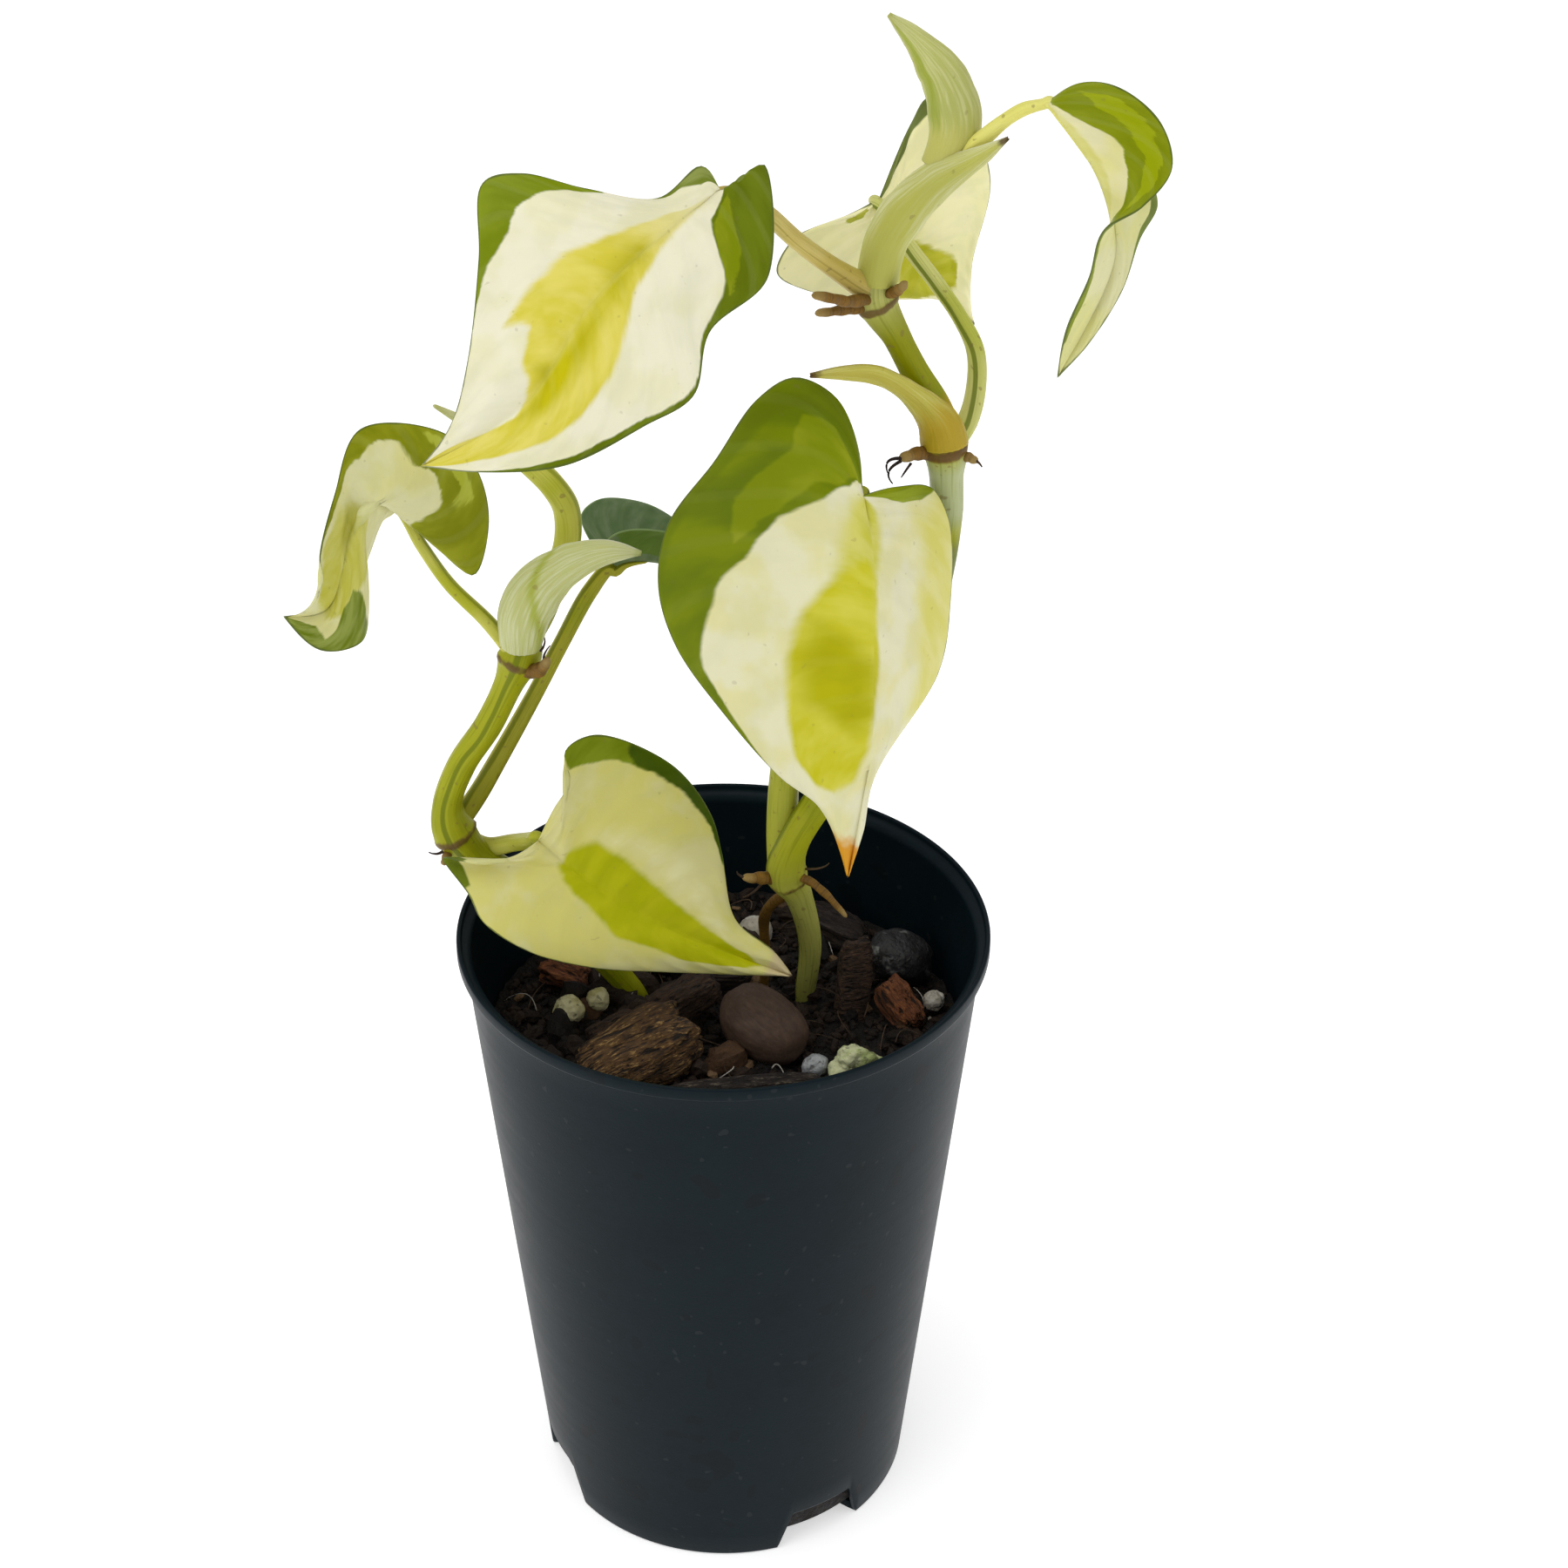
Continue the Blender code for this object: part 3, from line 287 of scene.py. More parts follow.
STONES = {
    "nugget": ((4.7, -4.8, -11.4), (11.5, 8.6, 8), (20, 18, -35), 0.05, "nugget"),
    "pebble": ((22, 9.4, -11.8), (8.5, 7.5, 6.5), (0, 20, 20), 0.1, "pebble"),
    "perlite_left": ((-15.5, 2.2, -12.6), (2.9, 2.7, 2.8), (0, 0, 10), 0.12, "yellow"),
    "perlite_left_front": ((-19, -0.6, -12.2), (4, 3.6, 3.6), (0, 0, 40), 0.12, "yellow"),
    "perlite_green": ((15.6, -11.6, -12.4), (6, 4.4, 4.2), (0, 10, 20), 0.26, "green"),
    "perlite_grey": ((10.8, -10.8, -13), (3, 2.8, 2.8), (0, 0, 0), 0.12, "grey"),
    "perlite_back": ((4, 17, -13), (4.4, 4.2, 4), (0, 0, 0), 0.06, "white"),
    "perlite_right": ((25.8, 1.8, -12.8), (2.6, 2.5, 2.5), (0, 0, 0), 0.12, "white"),
}

# Markings of the blades, as outlines of (share of the way from base to tip, place across). The
# place across is 0 on the midrib, 1 on the left margin and -1 on the right one.
MARKINGS = {
    "upper_left": {
        "feather": (
            (0.06, -0.08), (0.2, -0.28), (0.35, -0.28), (0.43, -0.29), (0.51, -0.34), (0.58, -0.43),
            (0.65, -0.56),
            (0.69, -0.62), (0.66, -0.45), (0.65, -0.36), (0.72, -0.3), (0.73, -0.16), (0.8, 0.07), (0.86, 0.0),
            (1.02, -0.6), (1.02, 0.7), (0.89, 0.62), (0.82, 0.61), (0.71, 0.59), (0.6, 0.48), (0.51, 0.31),
            (0.43, 0.21), (0.33, 0.11), (0.26, 0.06), (0.1, 0.06),
        ),
        "core": (
            (0.31, -0.11), (0.39, -0.07), (0.5, 0.03), (0.58, 0.06), (0.67, -0.03), (0.7, -0.12), (0.74, 0.03),
            (0.79, 0.11), (0.75, 0.28), (0.68, 0.24), (0.56, 0.14), (0.43, 0.11), (0.35, 0.04),
        ),
        "green": (
            (0.24, -1.3), (0.27, -0.93), (0.36, -0.84), (0.47, -0.74), (0.53, -0.71), (0.58, -0.8),
            (0.62, -0.89),
            (0.66, -0.95), (0.74, -0.99), (0.76, -1.3),
        ),
        "green_lobe": ((-0.05, -1.3), (-0.05, -0.5), (0.08, -0.5), (0.12, -0.84), (0.17, -0.88), (0.2, -1.3)),
        "green_side": (
            (-0.05, 0.28), (0.1, 0.28), (0.15, 0.29), (0.19, 0.28), (0.23, 0.38), (0.27, 0.52), (0.31, 0.71),
            (0.35, 0.83), (0.4, 0.93), (0.46, 0.98), (0.5, 0.965), (0.65, 0.93), (0.8, 0.9), (0.9, 0.94),
            (0.97, 1.3), (-0.05, 1.3),
        ),
        "light": ((0.1, 0.32), (0.24, 0.68), (0.29, 0.75), (0.33, 0.85), (0.3, 0.68), (0.26, 0.5), (0.2, 0.33)),
    },
    "centre": {
        "midband": ((-0.02, -0.12), (0.19, -0.24), (0.37, -0.22), (0.32, 0.02), (0.12, 0.22), (-0.02, 0.3)),
        "yellow_side": ((0.22, 0.62), (0.45, 0.55), (0.66, 0.7), (0.7, 1.3), (0.2, 1.3)),
        "feather": (
            (0.27, -0.05), (0.35, -0.19), (0.41, -0.27), (0.49, -0.34), (0.62, -0.44), (0.7, -0.53),
            (0.77, -0.61),
            (0.82, -0.55), (0.83, -0.36), (0.8, -0.12), (0.73, -0.02), (0.61, 0.02), (0.53, 0.07), (0.43, 0.03),
            (0.31, 0.02),
        ),
        "core": (
            (0.48, -0.28), (0.49, -0.1), (0.53, 0.02), (0.66, 0), (0.69, -0.13), (0.65, -0.38), (0.55, -0.33),
        ),
        "green": (
            (-0.05, -0.42), (0.17, -0.32), (0.25, -0.4), (0.29, -0.48), (0.34, -0.59), (0.39, -0.62),
            (0.43, -0.63),
            (0.48, -0.71), (0.52, -0.74), (0.57, -0.81), (0.63, -0.89), (0.74, -0.94), (0.82, -0.99),
            (0.85, -1.3),
            (-0.05, -1.3),
        ),
        "light": (
            (0.2, -0.8), (0.15, -0.72), (0.12, -0.5), (0.08, -0.36), (0.2, -0.36), (0.24, -0.48), (0.3, -0.56),
            (0.37, -0.66), (0.43, -0.7),
            (0.36, -0.82), (0.29, -0.76), (0.24, -0.7),
        ),
        "dark": (
            (0.04, -0.46), (0.11, -0.66), (0.15, -0.79), (0.22, -0.86), (0.31, -0.93), (0.41, -0.96),
            (0.52, -0.97),
            (0.52, -1.3), (-0.05, -1.3), (-0.05, -0.5),
        ),
        "green_side": (
            (-0.05, 0.5), (0.08, 0.6), (0.12, 0.6), (0.16, 0.64), (0.2, 0.79), (0.22, 1.3), (-0.05, 1.3),
        ),
    },
    "lower_left": {
        "feather": (
            (0.2, -0.04), (0.22, 0.11), (0.28, 0.22), (0.33, 0.29), (0.44, 0.28), (0.58, 0.24), (0.73, 0.24),
            (0.88, 0.28), (0.92, -0.1), (0.89, -0.41), (0.82, -0.49), (0.74, -0.52), (0.67, -0.39),
            (0.56, -0.38),
            (0.49, -0.26), (0.42, -0.2), (0.3, -0.16),
        ),
        "pale": ((0.3, 0.3), (0.45, 0.33), (0.62, 0.3), (0.8, 0.32), (0.8, 0.6), (0.6, 0.55), (0.42, 0.45)),
        "green": (
            (0.17, 1.3), (0.2, 0.97), (0.22, 0.8), (0.28, 0.8), (0.34, 0.86), (0.4, 0.87), (0.47, 0.91),
            (0.56, 0.94),
            (0.66, 0.95), (0.74, 0.99), (0.74, 1.3),
        ),
        "dark": ((0.37, 1.3), (0.36, 0.94), (0.38, 0.87), (0.5, 0.9), (0.7, 0.95), (0.74, 1.3)),
        "green_side": ((0.1, -1.3), (0.17, -0.9), (0.24, -0.86), (0.3, -0.93), (0.34, -1.3)),
    },
    "curled": {
        "feather": (
            (0.76, -0.8), (0.66, -0.5), (0.5, -0.1), (0.36, 0.2), (0.42, 0.6), (0.6, 0.42), (0.7, 0.5),
            (0.8, 0.3), (0.86, -0.1),
            (0.88, -0.5), (0.84, -0.9),
        ),
        "green": (
            (0.92, -1.3), (0.86, -0.97), (0.69, -0.86), (0.63, -0.78), (0.6, -0.87), (0.55, -0.84),
            (0.48, -0.64),
            (0.41, -0.66), (0.37, -0.61), (0.32, -0.56), (0.27, -0.41), (0.22, -0.3), (0.08, -0.3),
            (-0.05, -0.6),
            (-0.05, -1.3),
        ),
        "light": ((0.52, -0.95), (0.44, -0.8), (0.36, -0.78), (0.3, -0.6), (0.34, -0.86), (0.44, -0.93)),
        "green_side": (
            (0.54, 1.3), (0.57, 0.5), (0.62, 0.36), (0.69, 0.42), (0.74, 0.62), (0.8, 0.74), (0.86, 0.42),
            (1.02, 0.3), (1.05, 1.3),
        ),
    },
    "top_right": {
        "feather": ((0.0, -0.3), (0.14, 0.02), (0.3, 0.12), (0.5, 0.16), (0.66, 0.1), (0.5, -0.1), (0.2, -0.2)),
        "green": (
            (-0.05, 0.05), (0.11, 0.05), (0.2, 0.16), (0.26, 0.27), (0.3, 0.38), (0.34, 0.45), (0.38, 0.4),
            (0.44, 0.42), (0.5, 0.48), (0.56, 0.5), (0.6, 0.9), (0.68, 0.93), (0.8, 0.8), (0.9, 0.86),
            (0.94, 1.3),
            (-0.05, 1.3),
        ),
        "light": (
            (0.12, 0.6), (0.2, 0.8), (0.3, 0.86), (0.44, 0.84), (0.54, 0.7), (0.5, 0.62), (0.36, 0.66),
            (0.2, 0.5),
        ),
        "green_side": (
            (0.1, -1.3), (0.2, -0.86), (0.45, -0.84), (0.56, -0.82), (0.66, -0.9), (0.85, -0.94), (0.95, -1.3),
        ),
    },
    "back_green": {
        "green_side": ((0.22, -0.2), (0.28, -1.3), (1.05, -1.3), (1.05, 0.05), (0.8, -0.05), (0.5, -0.12)),
    },
    "back_upper": {
        "feather": (
            (0.38, -0.02), (0.46, 0.07), (0.56, 0.16), (0.71, 0.43), (0.8, 0.3), (0.76, -0.3), (0.76, -0.8),
            (0.68, -0.86), (0.6, -0.44), (0.48, -0.16),
        ),
        "green": ((-0.05, 0.4), (0.06, 0.6), (0.16, 0.7), (0.26, 0.8), (0.3, 0.93), (0.34, 1.3), (-0.05, 1.3)),
        "green_side": ((0.02, -0.75), (0.06, -0.5), (0.12, -0.42), (0.18, -0.5), (0.14, -0.64), (0.08, -0.7)),
    },
}


# Shapes


def above_rim(points):
    """The points with their height measured from the ground instead of from the rim."""
    placed = np.array(points, float)
    placed[..., 2] += RIM_HEIGHT
    return placed


def path_at(points, shares):
    """Points at these shares of the length of a smooth curve through the given ones.

    The curve is the cubic through each pair of points whose slopes weigh the two neighbouring
    chords by the square roots of their lengths, so it doesn't overshoot at uneven spacings.
    """
    points = np.array(points, float)
    steps = np.linalg.norm(np.diff(points[:, :3], axis=0), axis=1) ** 0.5
    knots = np.concatenate([[0], np.cumsum(steps)])
    slopes = np.diff(points, axis=0) / steps[:, None]
    tangents = np.empty_like(points)
    weight = (steps[1:] / (steps[1:] + steps[:-1]))[:, None]
    tangents[1:-1] = slopes[:-1] * weight + slopes[1:] * (1 - weight)
    tangents[0] = 1.5 * slopes[0] - 0.5 * tangents[1]
    tangents[-1] = 1.5 * slopes[-1] - 0.5 * tangents[-2]
    place = np.linspace(0, knots[-1], 40 * len(points))
    span = np.clip(np.searchsorted(knots, place, side="right") - 1, 0, len(steps) - 1)
    s = ((place - knots[span]) / steps[span])[:, None]
    width = steps[span][:, None]
    curve = (
        (2 * s**3 - 3 * s**2 + 1) * points[span]
        + (s**3 - 2 * s**2 + s) * width * tangents[span]
        + (3 * s**2 - 2 * s**3) * points[span + 1]
        + (s**3 - s**2) * width * tangents[span + 1]
    )
    travelled = np.concatenate([[0], np.cumsum(np.linalg.norm(np.diff(curve[:, :3], axis=0), axis=1))])
    travelled /= travelled[-1]
    return np.stack([np.interp(shares, travelled, column) for column in curve.T], axis=-1)


def noise(points, seed=0):
    """Smooth noise from -1 to 1: a random value at each whole-number corner, eased between them."""
    cell = np.floor(points).astype(np.int64)
    part = points - cell
    ease = part * part * (3 - 2 * part)
    total = 0
    for corner in range(8):
        step = np.array((corner & 1, corner >> 1 & 1, corner >> 2))
        at = cell + step
        mixed = (at[..., 0] * 73856093) ^ (at[..., 1] * 19349663) ^ (at[..., 2] * 83492791) ^ (seed * 7919)
        mixed = ((mixed ^ (mixed >> 13)) * 1274126177) & 0xFFFFFFFF
        value = ((mixed ^ (mixed >> 16)) & 0xFFFF) / 32767.5 - 1
        total = total + value * np.prod(np.where(step, ease, 1 - ease), axis=-1)
    return total


def rough(points, seed=0):
    """Three sizes of noise, each half the size and half the strength of the one before."""
    return noise(points, seed) + 0.5 * noise(points * 2.1, seed + 1) + 0.25 * noise(points * 4.3, seed + 2)


def unit(vectors):
    return vectors / np.maximum(np.linalg.norm(vectors, axis=-1, keepdims=True), 1e-9)


def grid_faces(rows, columns, start=0):
    """Quads between the rows of a grid whose columns join up, and the fans that close its two ends.

    The two points that the fans meet at come straight after the grid's own.
    """
    index = start + np.arange(rows * columns).reshape(rows, columns)
    after = np.roll(index, -1, axis=1)
    quads = np.stack([index[:-1], after[:-1], after[1:], index[1:]], axis=-1).reshape(-1, 4)
    first, last = start + rows * columns, start + rows * columns + 1
    fans = np.concatenate(
        [
            np.stack([np.full(columns, first), after[0], index[0]], axis=-1),
            np.stack([np.full(columns, last), index[-1], after[-1]], axis=-1),
        ]
    )
    return quads, fans


def grid_uvs(columns, along):
    """A corner-by-corner map for grid_faces: from 0 to 1 round it, and `along` at each row."""
    around = np.linspace(0, 1, columns + 1)
    u0, v0 = np.broadcast_arrays(around[None, :-1], along[:-1, None])
    u1, v1 = np.broadcast_arrays(around[None, 1:], along[1:, None])
    quads = np.stack([np.stack([u0, u1, u1, u0], -1), np.stack([v0, v0, v1, v1], -1)], axis=-1).reshape(-1, 2)
    middle = (around[:-1] + around[1:]) / 2
    low, high = np.full(columns, along[0]), np.full(columns, along[-1])
    fans = [np.stack([middle, low], -1), np.stack([around[1:], low], -1), np.stack([around[:-1], low], -1)]
    tops = [np.stack([middle, high], -1), np.stack([around[:-1], high], -1), np.stack([around[1:], high], -1)]
    return np.concatenate([quads, np.stack(fans, 1).reshape(-1, 2), np.stack(tops, 1).reshape(-1, 2)])


def looks_in(points, quads):
    """Whether a closed skin's faces look inwards: the volume swept from the origin is negative."""
    a, b, c, d = np.moveaxis(points[quads], 1, 0)
    return (a * (np.cross(b, c) + np.cross(c, d))).sum() < 0


def add_mesh(name, points, quads, fans, finish, stands_for, marks=None, uvs=None, smooth=True):
    """A piece from points in millimetres and faces, turned so that they look outwards."""
    inside_out = looks_in(points, quads)
    if inside_out:
        quads, fans = quads[:, ::-1], fans[:, ::-1]
    loops = np.concatenate([quads.ravel(), fans.ravel()])
    totals = np.concatenate([np.full(len(quads), 4), np.full(len(fans), 3)])
    mesh = bpy.data.meshes.new(name)
    mesh.vertices.add(len(points))
    mesh.vertices.foreach_set("co", (points * MM).astype(np.float32).ravel())
    mesh.loops.add(len(loops))
    mesh.loops.foreach_set("vertex_index", loops.astype(np.int32))
    mesh.polygons.add(len(totals))
    mesh.polygons.foreach_set("loop_start", np.concatenate([[0], np.cumsum(totals)[:-1]]).astype(np.int32))
    if uvs is not None:
        if inside_out:
            of_quads, of_fans = np.split(uvs, [4 * len(quads)])
            turned = of_quads.reshape(-1, 4, 2)[:, ::-1], of_fans.reshape(-1, 3, 2)[:, ::-1]
            uvs = np.concatenate([part.reshape(-1, 2) for part in turned])
        mesh.uv_layers.new(name="surface").data.foreach_set("uv", uvs.astype(np.float32).ravel())
    for label, values in (marks or {}).items():
        attribute = mesh.attributes.new(label, "FLOAT", "POINT")
        attribute.data.foreach_set("value", values.astype(np.float32).ravel())
    mesh.update(calc_edges=True)
    mesh.validate()
    mesh.polygons.foreach_set("use_smooth", np.full(len(mesh.polygons), smooth))
    piece = bpy.data.objects.new(name, mesh)
    bpy.context.scene.collection.objects.link(piece)
    mesh.materials.append(finish)
    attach(piece, "root")
    if stands_for:
        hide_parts(*stands_for)
    return piece


def add_closed_grid(name, grid, ends, finish, stands_for, marks=None, along=None):
    """A grid of points, joined round its columns and closed at each end, as a piece."""
    rows, columns = grid.shape[:2]
    points = np.concatenate([grid.reshape(-1, 3), ends])
    quads, fans = grid_faces(rows, columns)
    uvs = grid_uvs(columns, np.linspace(0, 1, rows) if along is None else along)
    return add_mesh(name, points, quads, fans, finish, stands_for, marks, uvs)


def frames_on(path, facing):
    """For each point of a path, `facing` made square to the path, and the direction square to both."""
    tangent = unit(np.gradient(path[:, :3], axis=0))
    front = np.array(facing, float)
    front = unit(front - tangent * (tangent @ front)[:, None])
    return front, np.cross(tangent, front)


def bar(path, sides, profile):
    """Rings round a path of x, y, z and radius, as an array of (ring, place round it, 3).

    Place round it is an angle from the front. `profile(angle, row)` scales the radius.
    """
    front, side = frames_on(path, (0, -1, 0))
    angle = np.linspace(0, 2 * np.pi, sides, endpoint=False)[None, :, None]
    radius = path[:, 3][:, None, None] * profile(angle[..., 0], np.arange(len(path))[:, None])[..., None]
    return path[:, None, :3] + (front[:, None] * np.cos(angle) + side[:, None] * np.sin(angle)) * radius


def leaf_axes(leaf):
    """The leaf's base, and its own axes as rows: along it, to its left, out of its upper side."""
    base, tip = above_rim(leaf["base"]), above_rim(leaf["tip"])
    forward = unit(tip - base)
    face = np.array(leaf["face"], float)
    face = unit(face - forward * (face @ forward))
    return base, np.stack([forward, np.cross(face, forward), face])


def leaf_sheet(leaf, share, place):
    """Points of a blade's middle surface, in its own axes, with its half width at each.

    A point lies `|place|` of the way from the midrib to the outline at the same share. The midrib
    is read at share to the power 1.35, because the lobes at the base reach back behind it. A dish
    lifts the middle of each half by 4p(1 - p), and a wave lifts the margin. On top come a crease
    on the midrib, a quilted rise between the side veins, which sweep towards the tip, and a slow
    unevenness of the whole blade.
    """
    middle = path_at(leaf["midrib"], share**1.35)
    edge = np.where((place > 0)[..., None], path_at(leaf["left"], share), path_at(leaf["right"], share))
    reach = np.abs(place)
    points = middle + (edge - middle) * reach[..., None]
    half_width = np.linalg.norm(edge - middle, axis=-1)
    points[..., 2] += leaf["dish"] * 4 * reach * (1 - reach)
    points[..., 2] += leaf["wave"] * np.sin(5 * np.pi * share + 2 * place) * reach**2
    away = reach * half_width
    fade = np.clip(share * 8, 0, 1) * np.clip((1 - share) * 8, 0, 1)
    points[..., 2] -= 0.32 * np.exp(-((away / 0.7) ** 2)) * fade
    veins = np.sin(2 * np.pi * (share * 12 - 2.6 * reach**1.3))
    points[..., 2] += 0.045 * veins * fade * np.clip(away / 2, 0, 1) * np.clip((1 - reach) * 4, 0, 1)
    slow = np.stack([share * 6, place * 3, np.full_like(share, len(leaf["left"]))], axis=-1)
    points[..., 2] += 0.22 * noise(slow, 5) * fade * np.clip(away / 3, 0, 1)
    return points, half_width


MARKING_WIDTH = 12.0  # the half width of blade that markings are measured on, in mm


def inside_outline(outline, share, place, length):
    """Distance in millimetres to an outline on the blade, above 0 inside it and below 0 outside."""
    scale = np.array((length, MARKING_WIDTH))
    corners = np.array(outline) * scale
    points = np.stack([share, place], axis=-1) * scale
    nearest = np.full(share.shape, 1e9)
    crossings = np.zeros(share.shape, int)
    for start, end in zip(corners, np.roll(corners, -1, axis=0)):
        edge = end - start
        offset = points - start
        part = np.clip((offset @ edge) / (edge @ edge), 0, 1)
        nearest = np.minimum(nearest, np.linalg.norm(offset - part[..., None] * edge, axis=-1))
        spans = (start[1] > points[..., 1]) != (end[1] > points[..., 1])
        rise = edge[1] if edge[1] else 1e-9
        crossings += spans & (points[..., 0] < start[0] + edge[0] * (points[..., 1] - start[1]) / rise)
    return np.where(crossings % 2 == 1, nearest, -nearest)


LEAF_ROWS = 110
LEAF_PLACES = 61
POT_SIDES = 720
MIX_SIDES = 240


def make_leaf(name, finish):
    """A blade as one closed skin: its upper side from right margin to left, then back underneath.

    The skin stands off the middle surface by half the thickness times sqrt(1 - place^8), so it
    closes in a fine rounded edge at both margins.
    """
    leaf = LEAVES[name]
    across = np.sin(np.linspace(-np.pi / 2, np.pi / 2, LEAF_PLACES))
    share_row = np.linspace(0, 1, LEAF_ROWS + 2)[1:-1]
    share, place = np.meshgrid(share_row, across, indexing="ij")
    sheet, half_width = leaf_sheet(leaf, share, place)
    out = unit(np.cross(np.gradient(sheet, axis=0), np.gradient(sheet, axis=1)))
    taper = np.clip(share * 12, 0.3, 1) * np.clip((1 - share) * 10, 0.25, 1)
    half = 0.5 * LEAF_THICKNESS * np.sqrt(1 - np.abs(place) ** 8) * taper
    upper, under = sheet + out * half[..., None], sheet - out * half[..., None]
    back = slice(LEAF_PLACES - 2, 0, -1)

    def both(values, turned=1):
        return np.concatenate([values, turned * values[:, back]], axis=1)

    base, axes = leaf_axes(leaf)
    grid = np.concatenate([upper, under[:, back]], axis=1) @ axes + base
    ends = path_at(leaf["midrib"], np.array((0.0, 1.0))) @ axes + base
    length = np.linalg.norm(np.subtract(leaf["tip"], leaf["base"]))
    away = np.abs(place) * half_width
    marks = {
        "upper": both(np.where(np.abs(place) > 0.995, 0, 1.0), -1),
        "share": both(share),
        "place": both(place),
        "off_midrib": both(away),
        "off_margin": both(np.minimum((1 - np.abs(place)) * half_width, (1 - share) * length)),
    }
    for label, outline in MARKINGS.get(name, {}).items():
        marks[label] = both(inside_outline(outline, share, place, length))
    fills = {"upper": 0, "share": (0, 1), "place": 0, "off_midrib": 0, "off_margin": 0.2}
    for label in marks:
        filled = np.broadcast_to(fills.get(label, marks[label][[0, -1], LEAF_PLACES // 2]), 2)
        marks[label] = np.concatenate([marks[label].ravel(), filled])
    node = "leaf_" + name
    return add_closed_grid(node + "_blade", grid, ends, finish, [node], marks)


def stalk_profile(angle, row):
    """A leaf stalk's section: nearly round, with a shallow channel up its facing side."""
    wrapped = np.minimum(angle, 2 * np.pi - angle)
    return 1 - 0.16 * np.exp(-((wrapped / 0.45) ** 2)) + 0.03 * np.cos(3 * angle) + 0 * row


def stem_profile(angle, row):
    """A vine's section: round, with low ribs that drift slowly round it."""
    return 1 + 0.025 * np.cos(5 * angle + 0.02 * row) + 0.012 * np.cos(11 * angle - 0.03 * row)


def rolled_profile(angle, row):
    """A rolled leaf's section: round, with a step where its outer turn ends, winding up the roll."""
    turned = (angle + 0.03 * row) % (2 * np.pi)
    return 0.86 + 0.2 * turned / (2 * np.pi)


def root_profile(angle, row):
    """A root's section: uneven, in slow rings."""
    return 1 + 0.08 * np.sin(0.35 * row + 1.7 * np.cos(angle)) + 0.05 * np.cos(2 * angle + 0.1 * row)


def with_radius(points, scale):
    """The same points with their last value, a share of a radius, made millimetres."""
    return [(*point[:3], point[3] * scale) for point in points]


def midrib_run(name):
    """Points under the first part of a blade's midrib, where its stalk runs out into it."""
    leaf = LEAVES[name]
    sunk = path_at(leaf["midrib"], np.array((0.03, 0.12, 0.28)))
    sunk[:, 2] -= (1.0, 0.75, 0.5)
    base, axes = leaf_axes(leaf)
    placed = sunk @ axes + base - (0, 0, RIM_HEIGHT)
    return [(*point, share) for point, share in zip(placed, (0.55, 0.34, 0.12))]


def make_bar(name, points, finish, stands_for, rows, sides, profile, rings=(), marks=None, closed=0.35):
    """A bar on the smooth path through the points, with rounded ends and raised rings round it.

    Each end's last rows shrink by sqrt(1 - t^2). A ring adds 12% to the radius within 0.5 mm.
    """
    path = path_at(points, np.linspace(0, 1, rows))
    path[:, :3] = above_rim(path[:, :3])
    length = np.linalg.norm(np.diff(path[:, :3], axis=0), axis=1).sum()
    travelled = np.linspace(0, length, rows)
    gap = np.full(rows, 1e3)
    for ring in rings:
        gap = np.minimum(gap, np.linalg.norm(path[:, :3] - above_rim(ring[:3]), axis=1))
    path[:, 3] *= 1 + 0.12 * np.exp(-((gap / 0.5) ** 2))
    for side in (travelled, length - travelled):
        path[:, 3] *= np.sqrt(np.clip(1 - (1 - np.clip(side / closed, 0, 1)) ** 2, 0.04, 1))
    grid = bar(path, sides, profile)
    ends = path[[0, -1], :3]
    found = {"travelled": travelled, "node_gap": gap}
    found.update({label: values(path, travelled) for label, values in (marks or {}).items()})
    found = {
        label: np.concatenate([np.repeat(values, sides), values[[0, -1]]]) for label, values in found.items()
    }
    return add_closed_grid(name, grid, ends, finish, stands_for, found, along=travelled / 10)


def make_sheath(node, facing, points, finish, rows=70, places=41):
    """A thin ribbed channel along a path, as one closed skin: its outside, then back inside.

    At each row it spans the wrap angle each way from the facing side. Its radius carries fine
    ribs, cos(26 a), and its margins curl in a little and are nibbled by noise towards the tip.
    """
    shares = np.linspace(0, 1, rows)
    path = path_at(points, shares)
    path[:, :3] = above_rim(path[:, :3])
    front, side = frames_on(path, facing)
    across = np.sin(np.linspace(-np.pi / 2, np.pi / 2, places))
    share, place = np.meshgrid(shares, across, indexing="ij")
    nibble = noise(np.stack([share * 14, np.sign(place) * 2, share * 0], axis=-1), 3)
    wrap = np.radians(path[:, 4])[:, None] * (1 + 0.1 * nibble * share)
    angle = wrap * place
    slow = noise(np.stack([share * 9, place * 4, place * 0], -1), 8)
    radius = path[:, 3][:, None] * STEM_RADIUS
    radius = radius + 0.05 * np.cos(26 * angle) * (1 - share) + 0.1 * slow - 0.25 * np.abs(place) ** 6
    half = 0.5 * SHEATH_THICKNESS * np.sqrt(1 - np.abs(place) ** 8) * np.clip(1.3 - share, 0.3, 1)

    def skin(offset):
        reach = (radius + offset)[..., None]
        turned = front[:, None] * np.cos(angle)[..., None] + side[:, None] * np.sin(angle)[..., None]
        return path[:, None, :3] + turned * reach

    back = slice(places - 2, 0, -1)
    grid = np.concatenate([skin(half), skin(-half)[:, back]], axis=1)
    marks = {"share": share, "place": place, "off_margin": (1 - np.abs(place)) * wrap * radius}
    marks = {
        label: np.append(np.concatenate([v, v[:, back]], axis=1).ravel(), v[[0, -1], places // 2])
        for label, v in marks.items()
    }
    ends = grid[[0, -1]].mean(axis=1)
    return add_closed_grid(node + "_skin", grid, ends, finish, [node], marks)


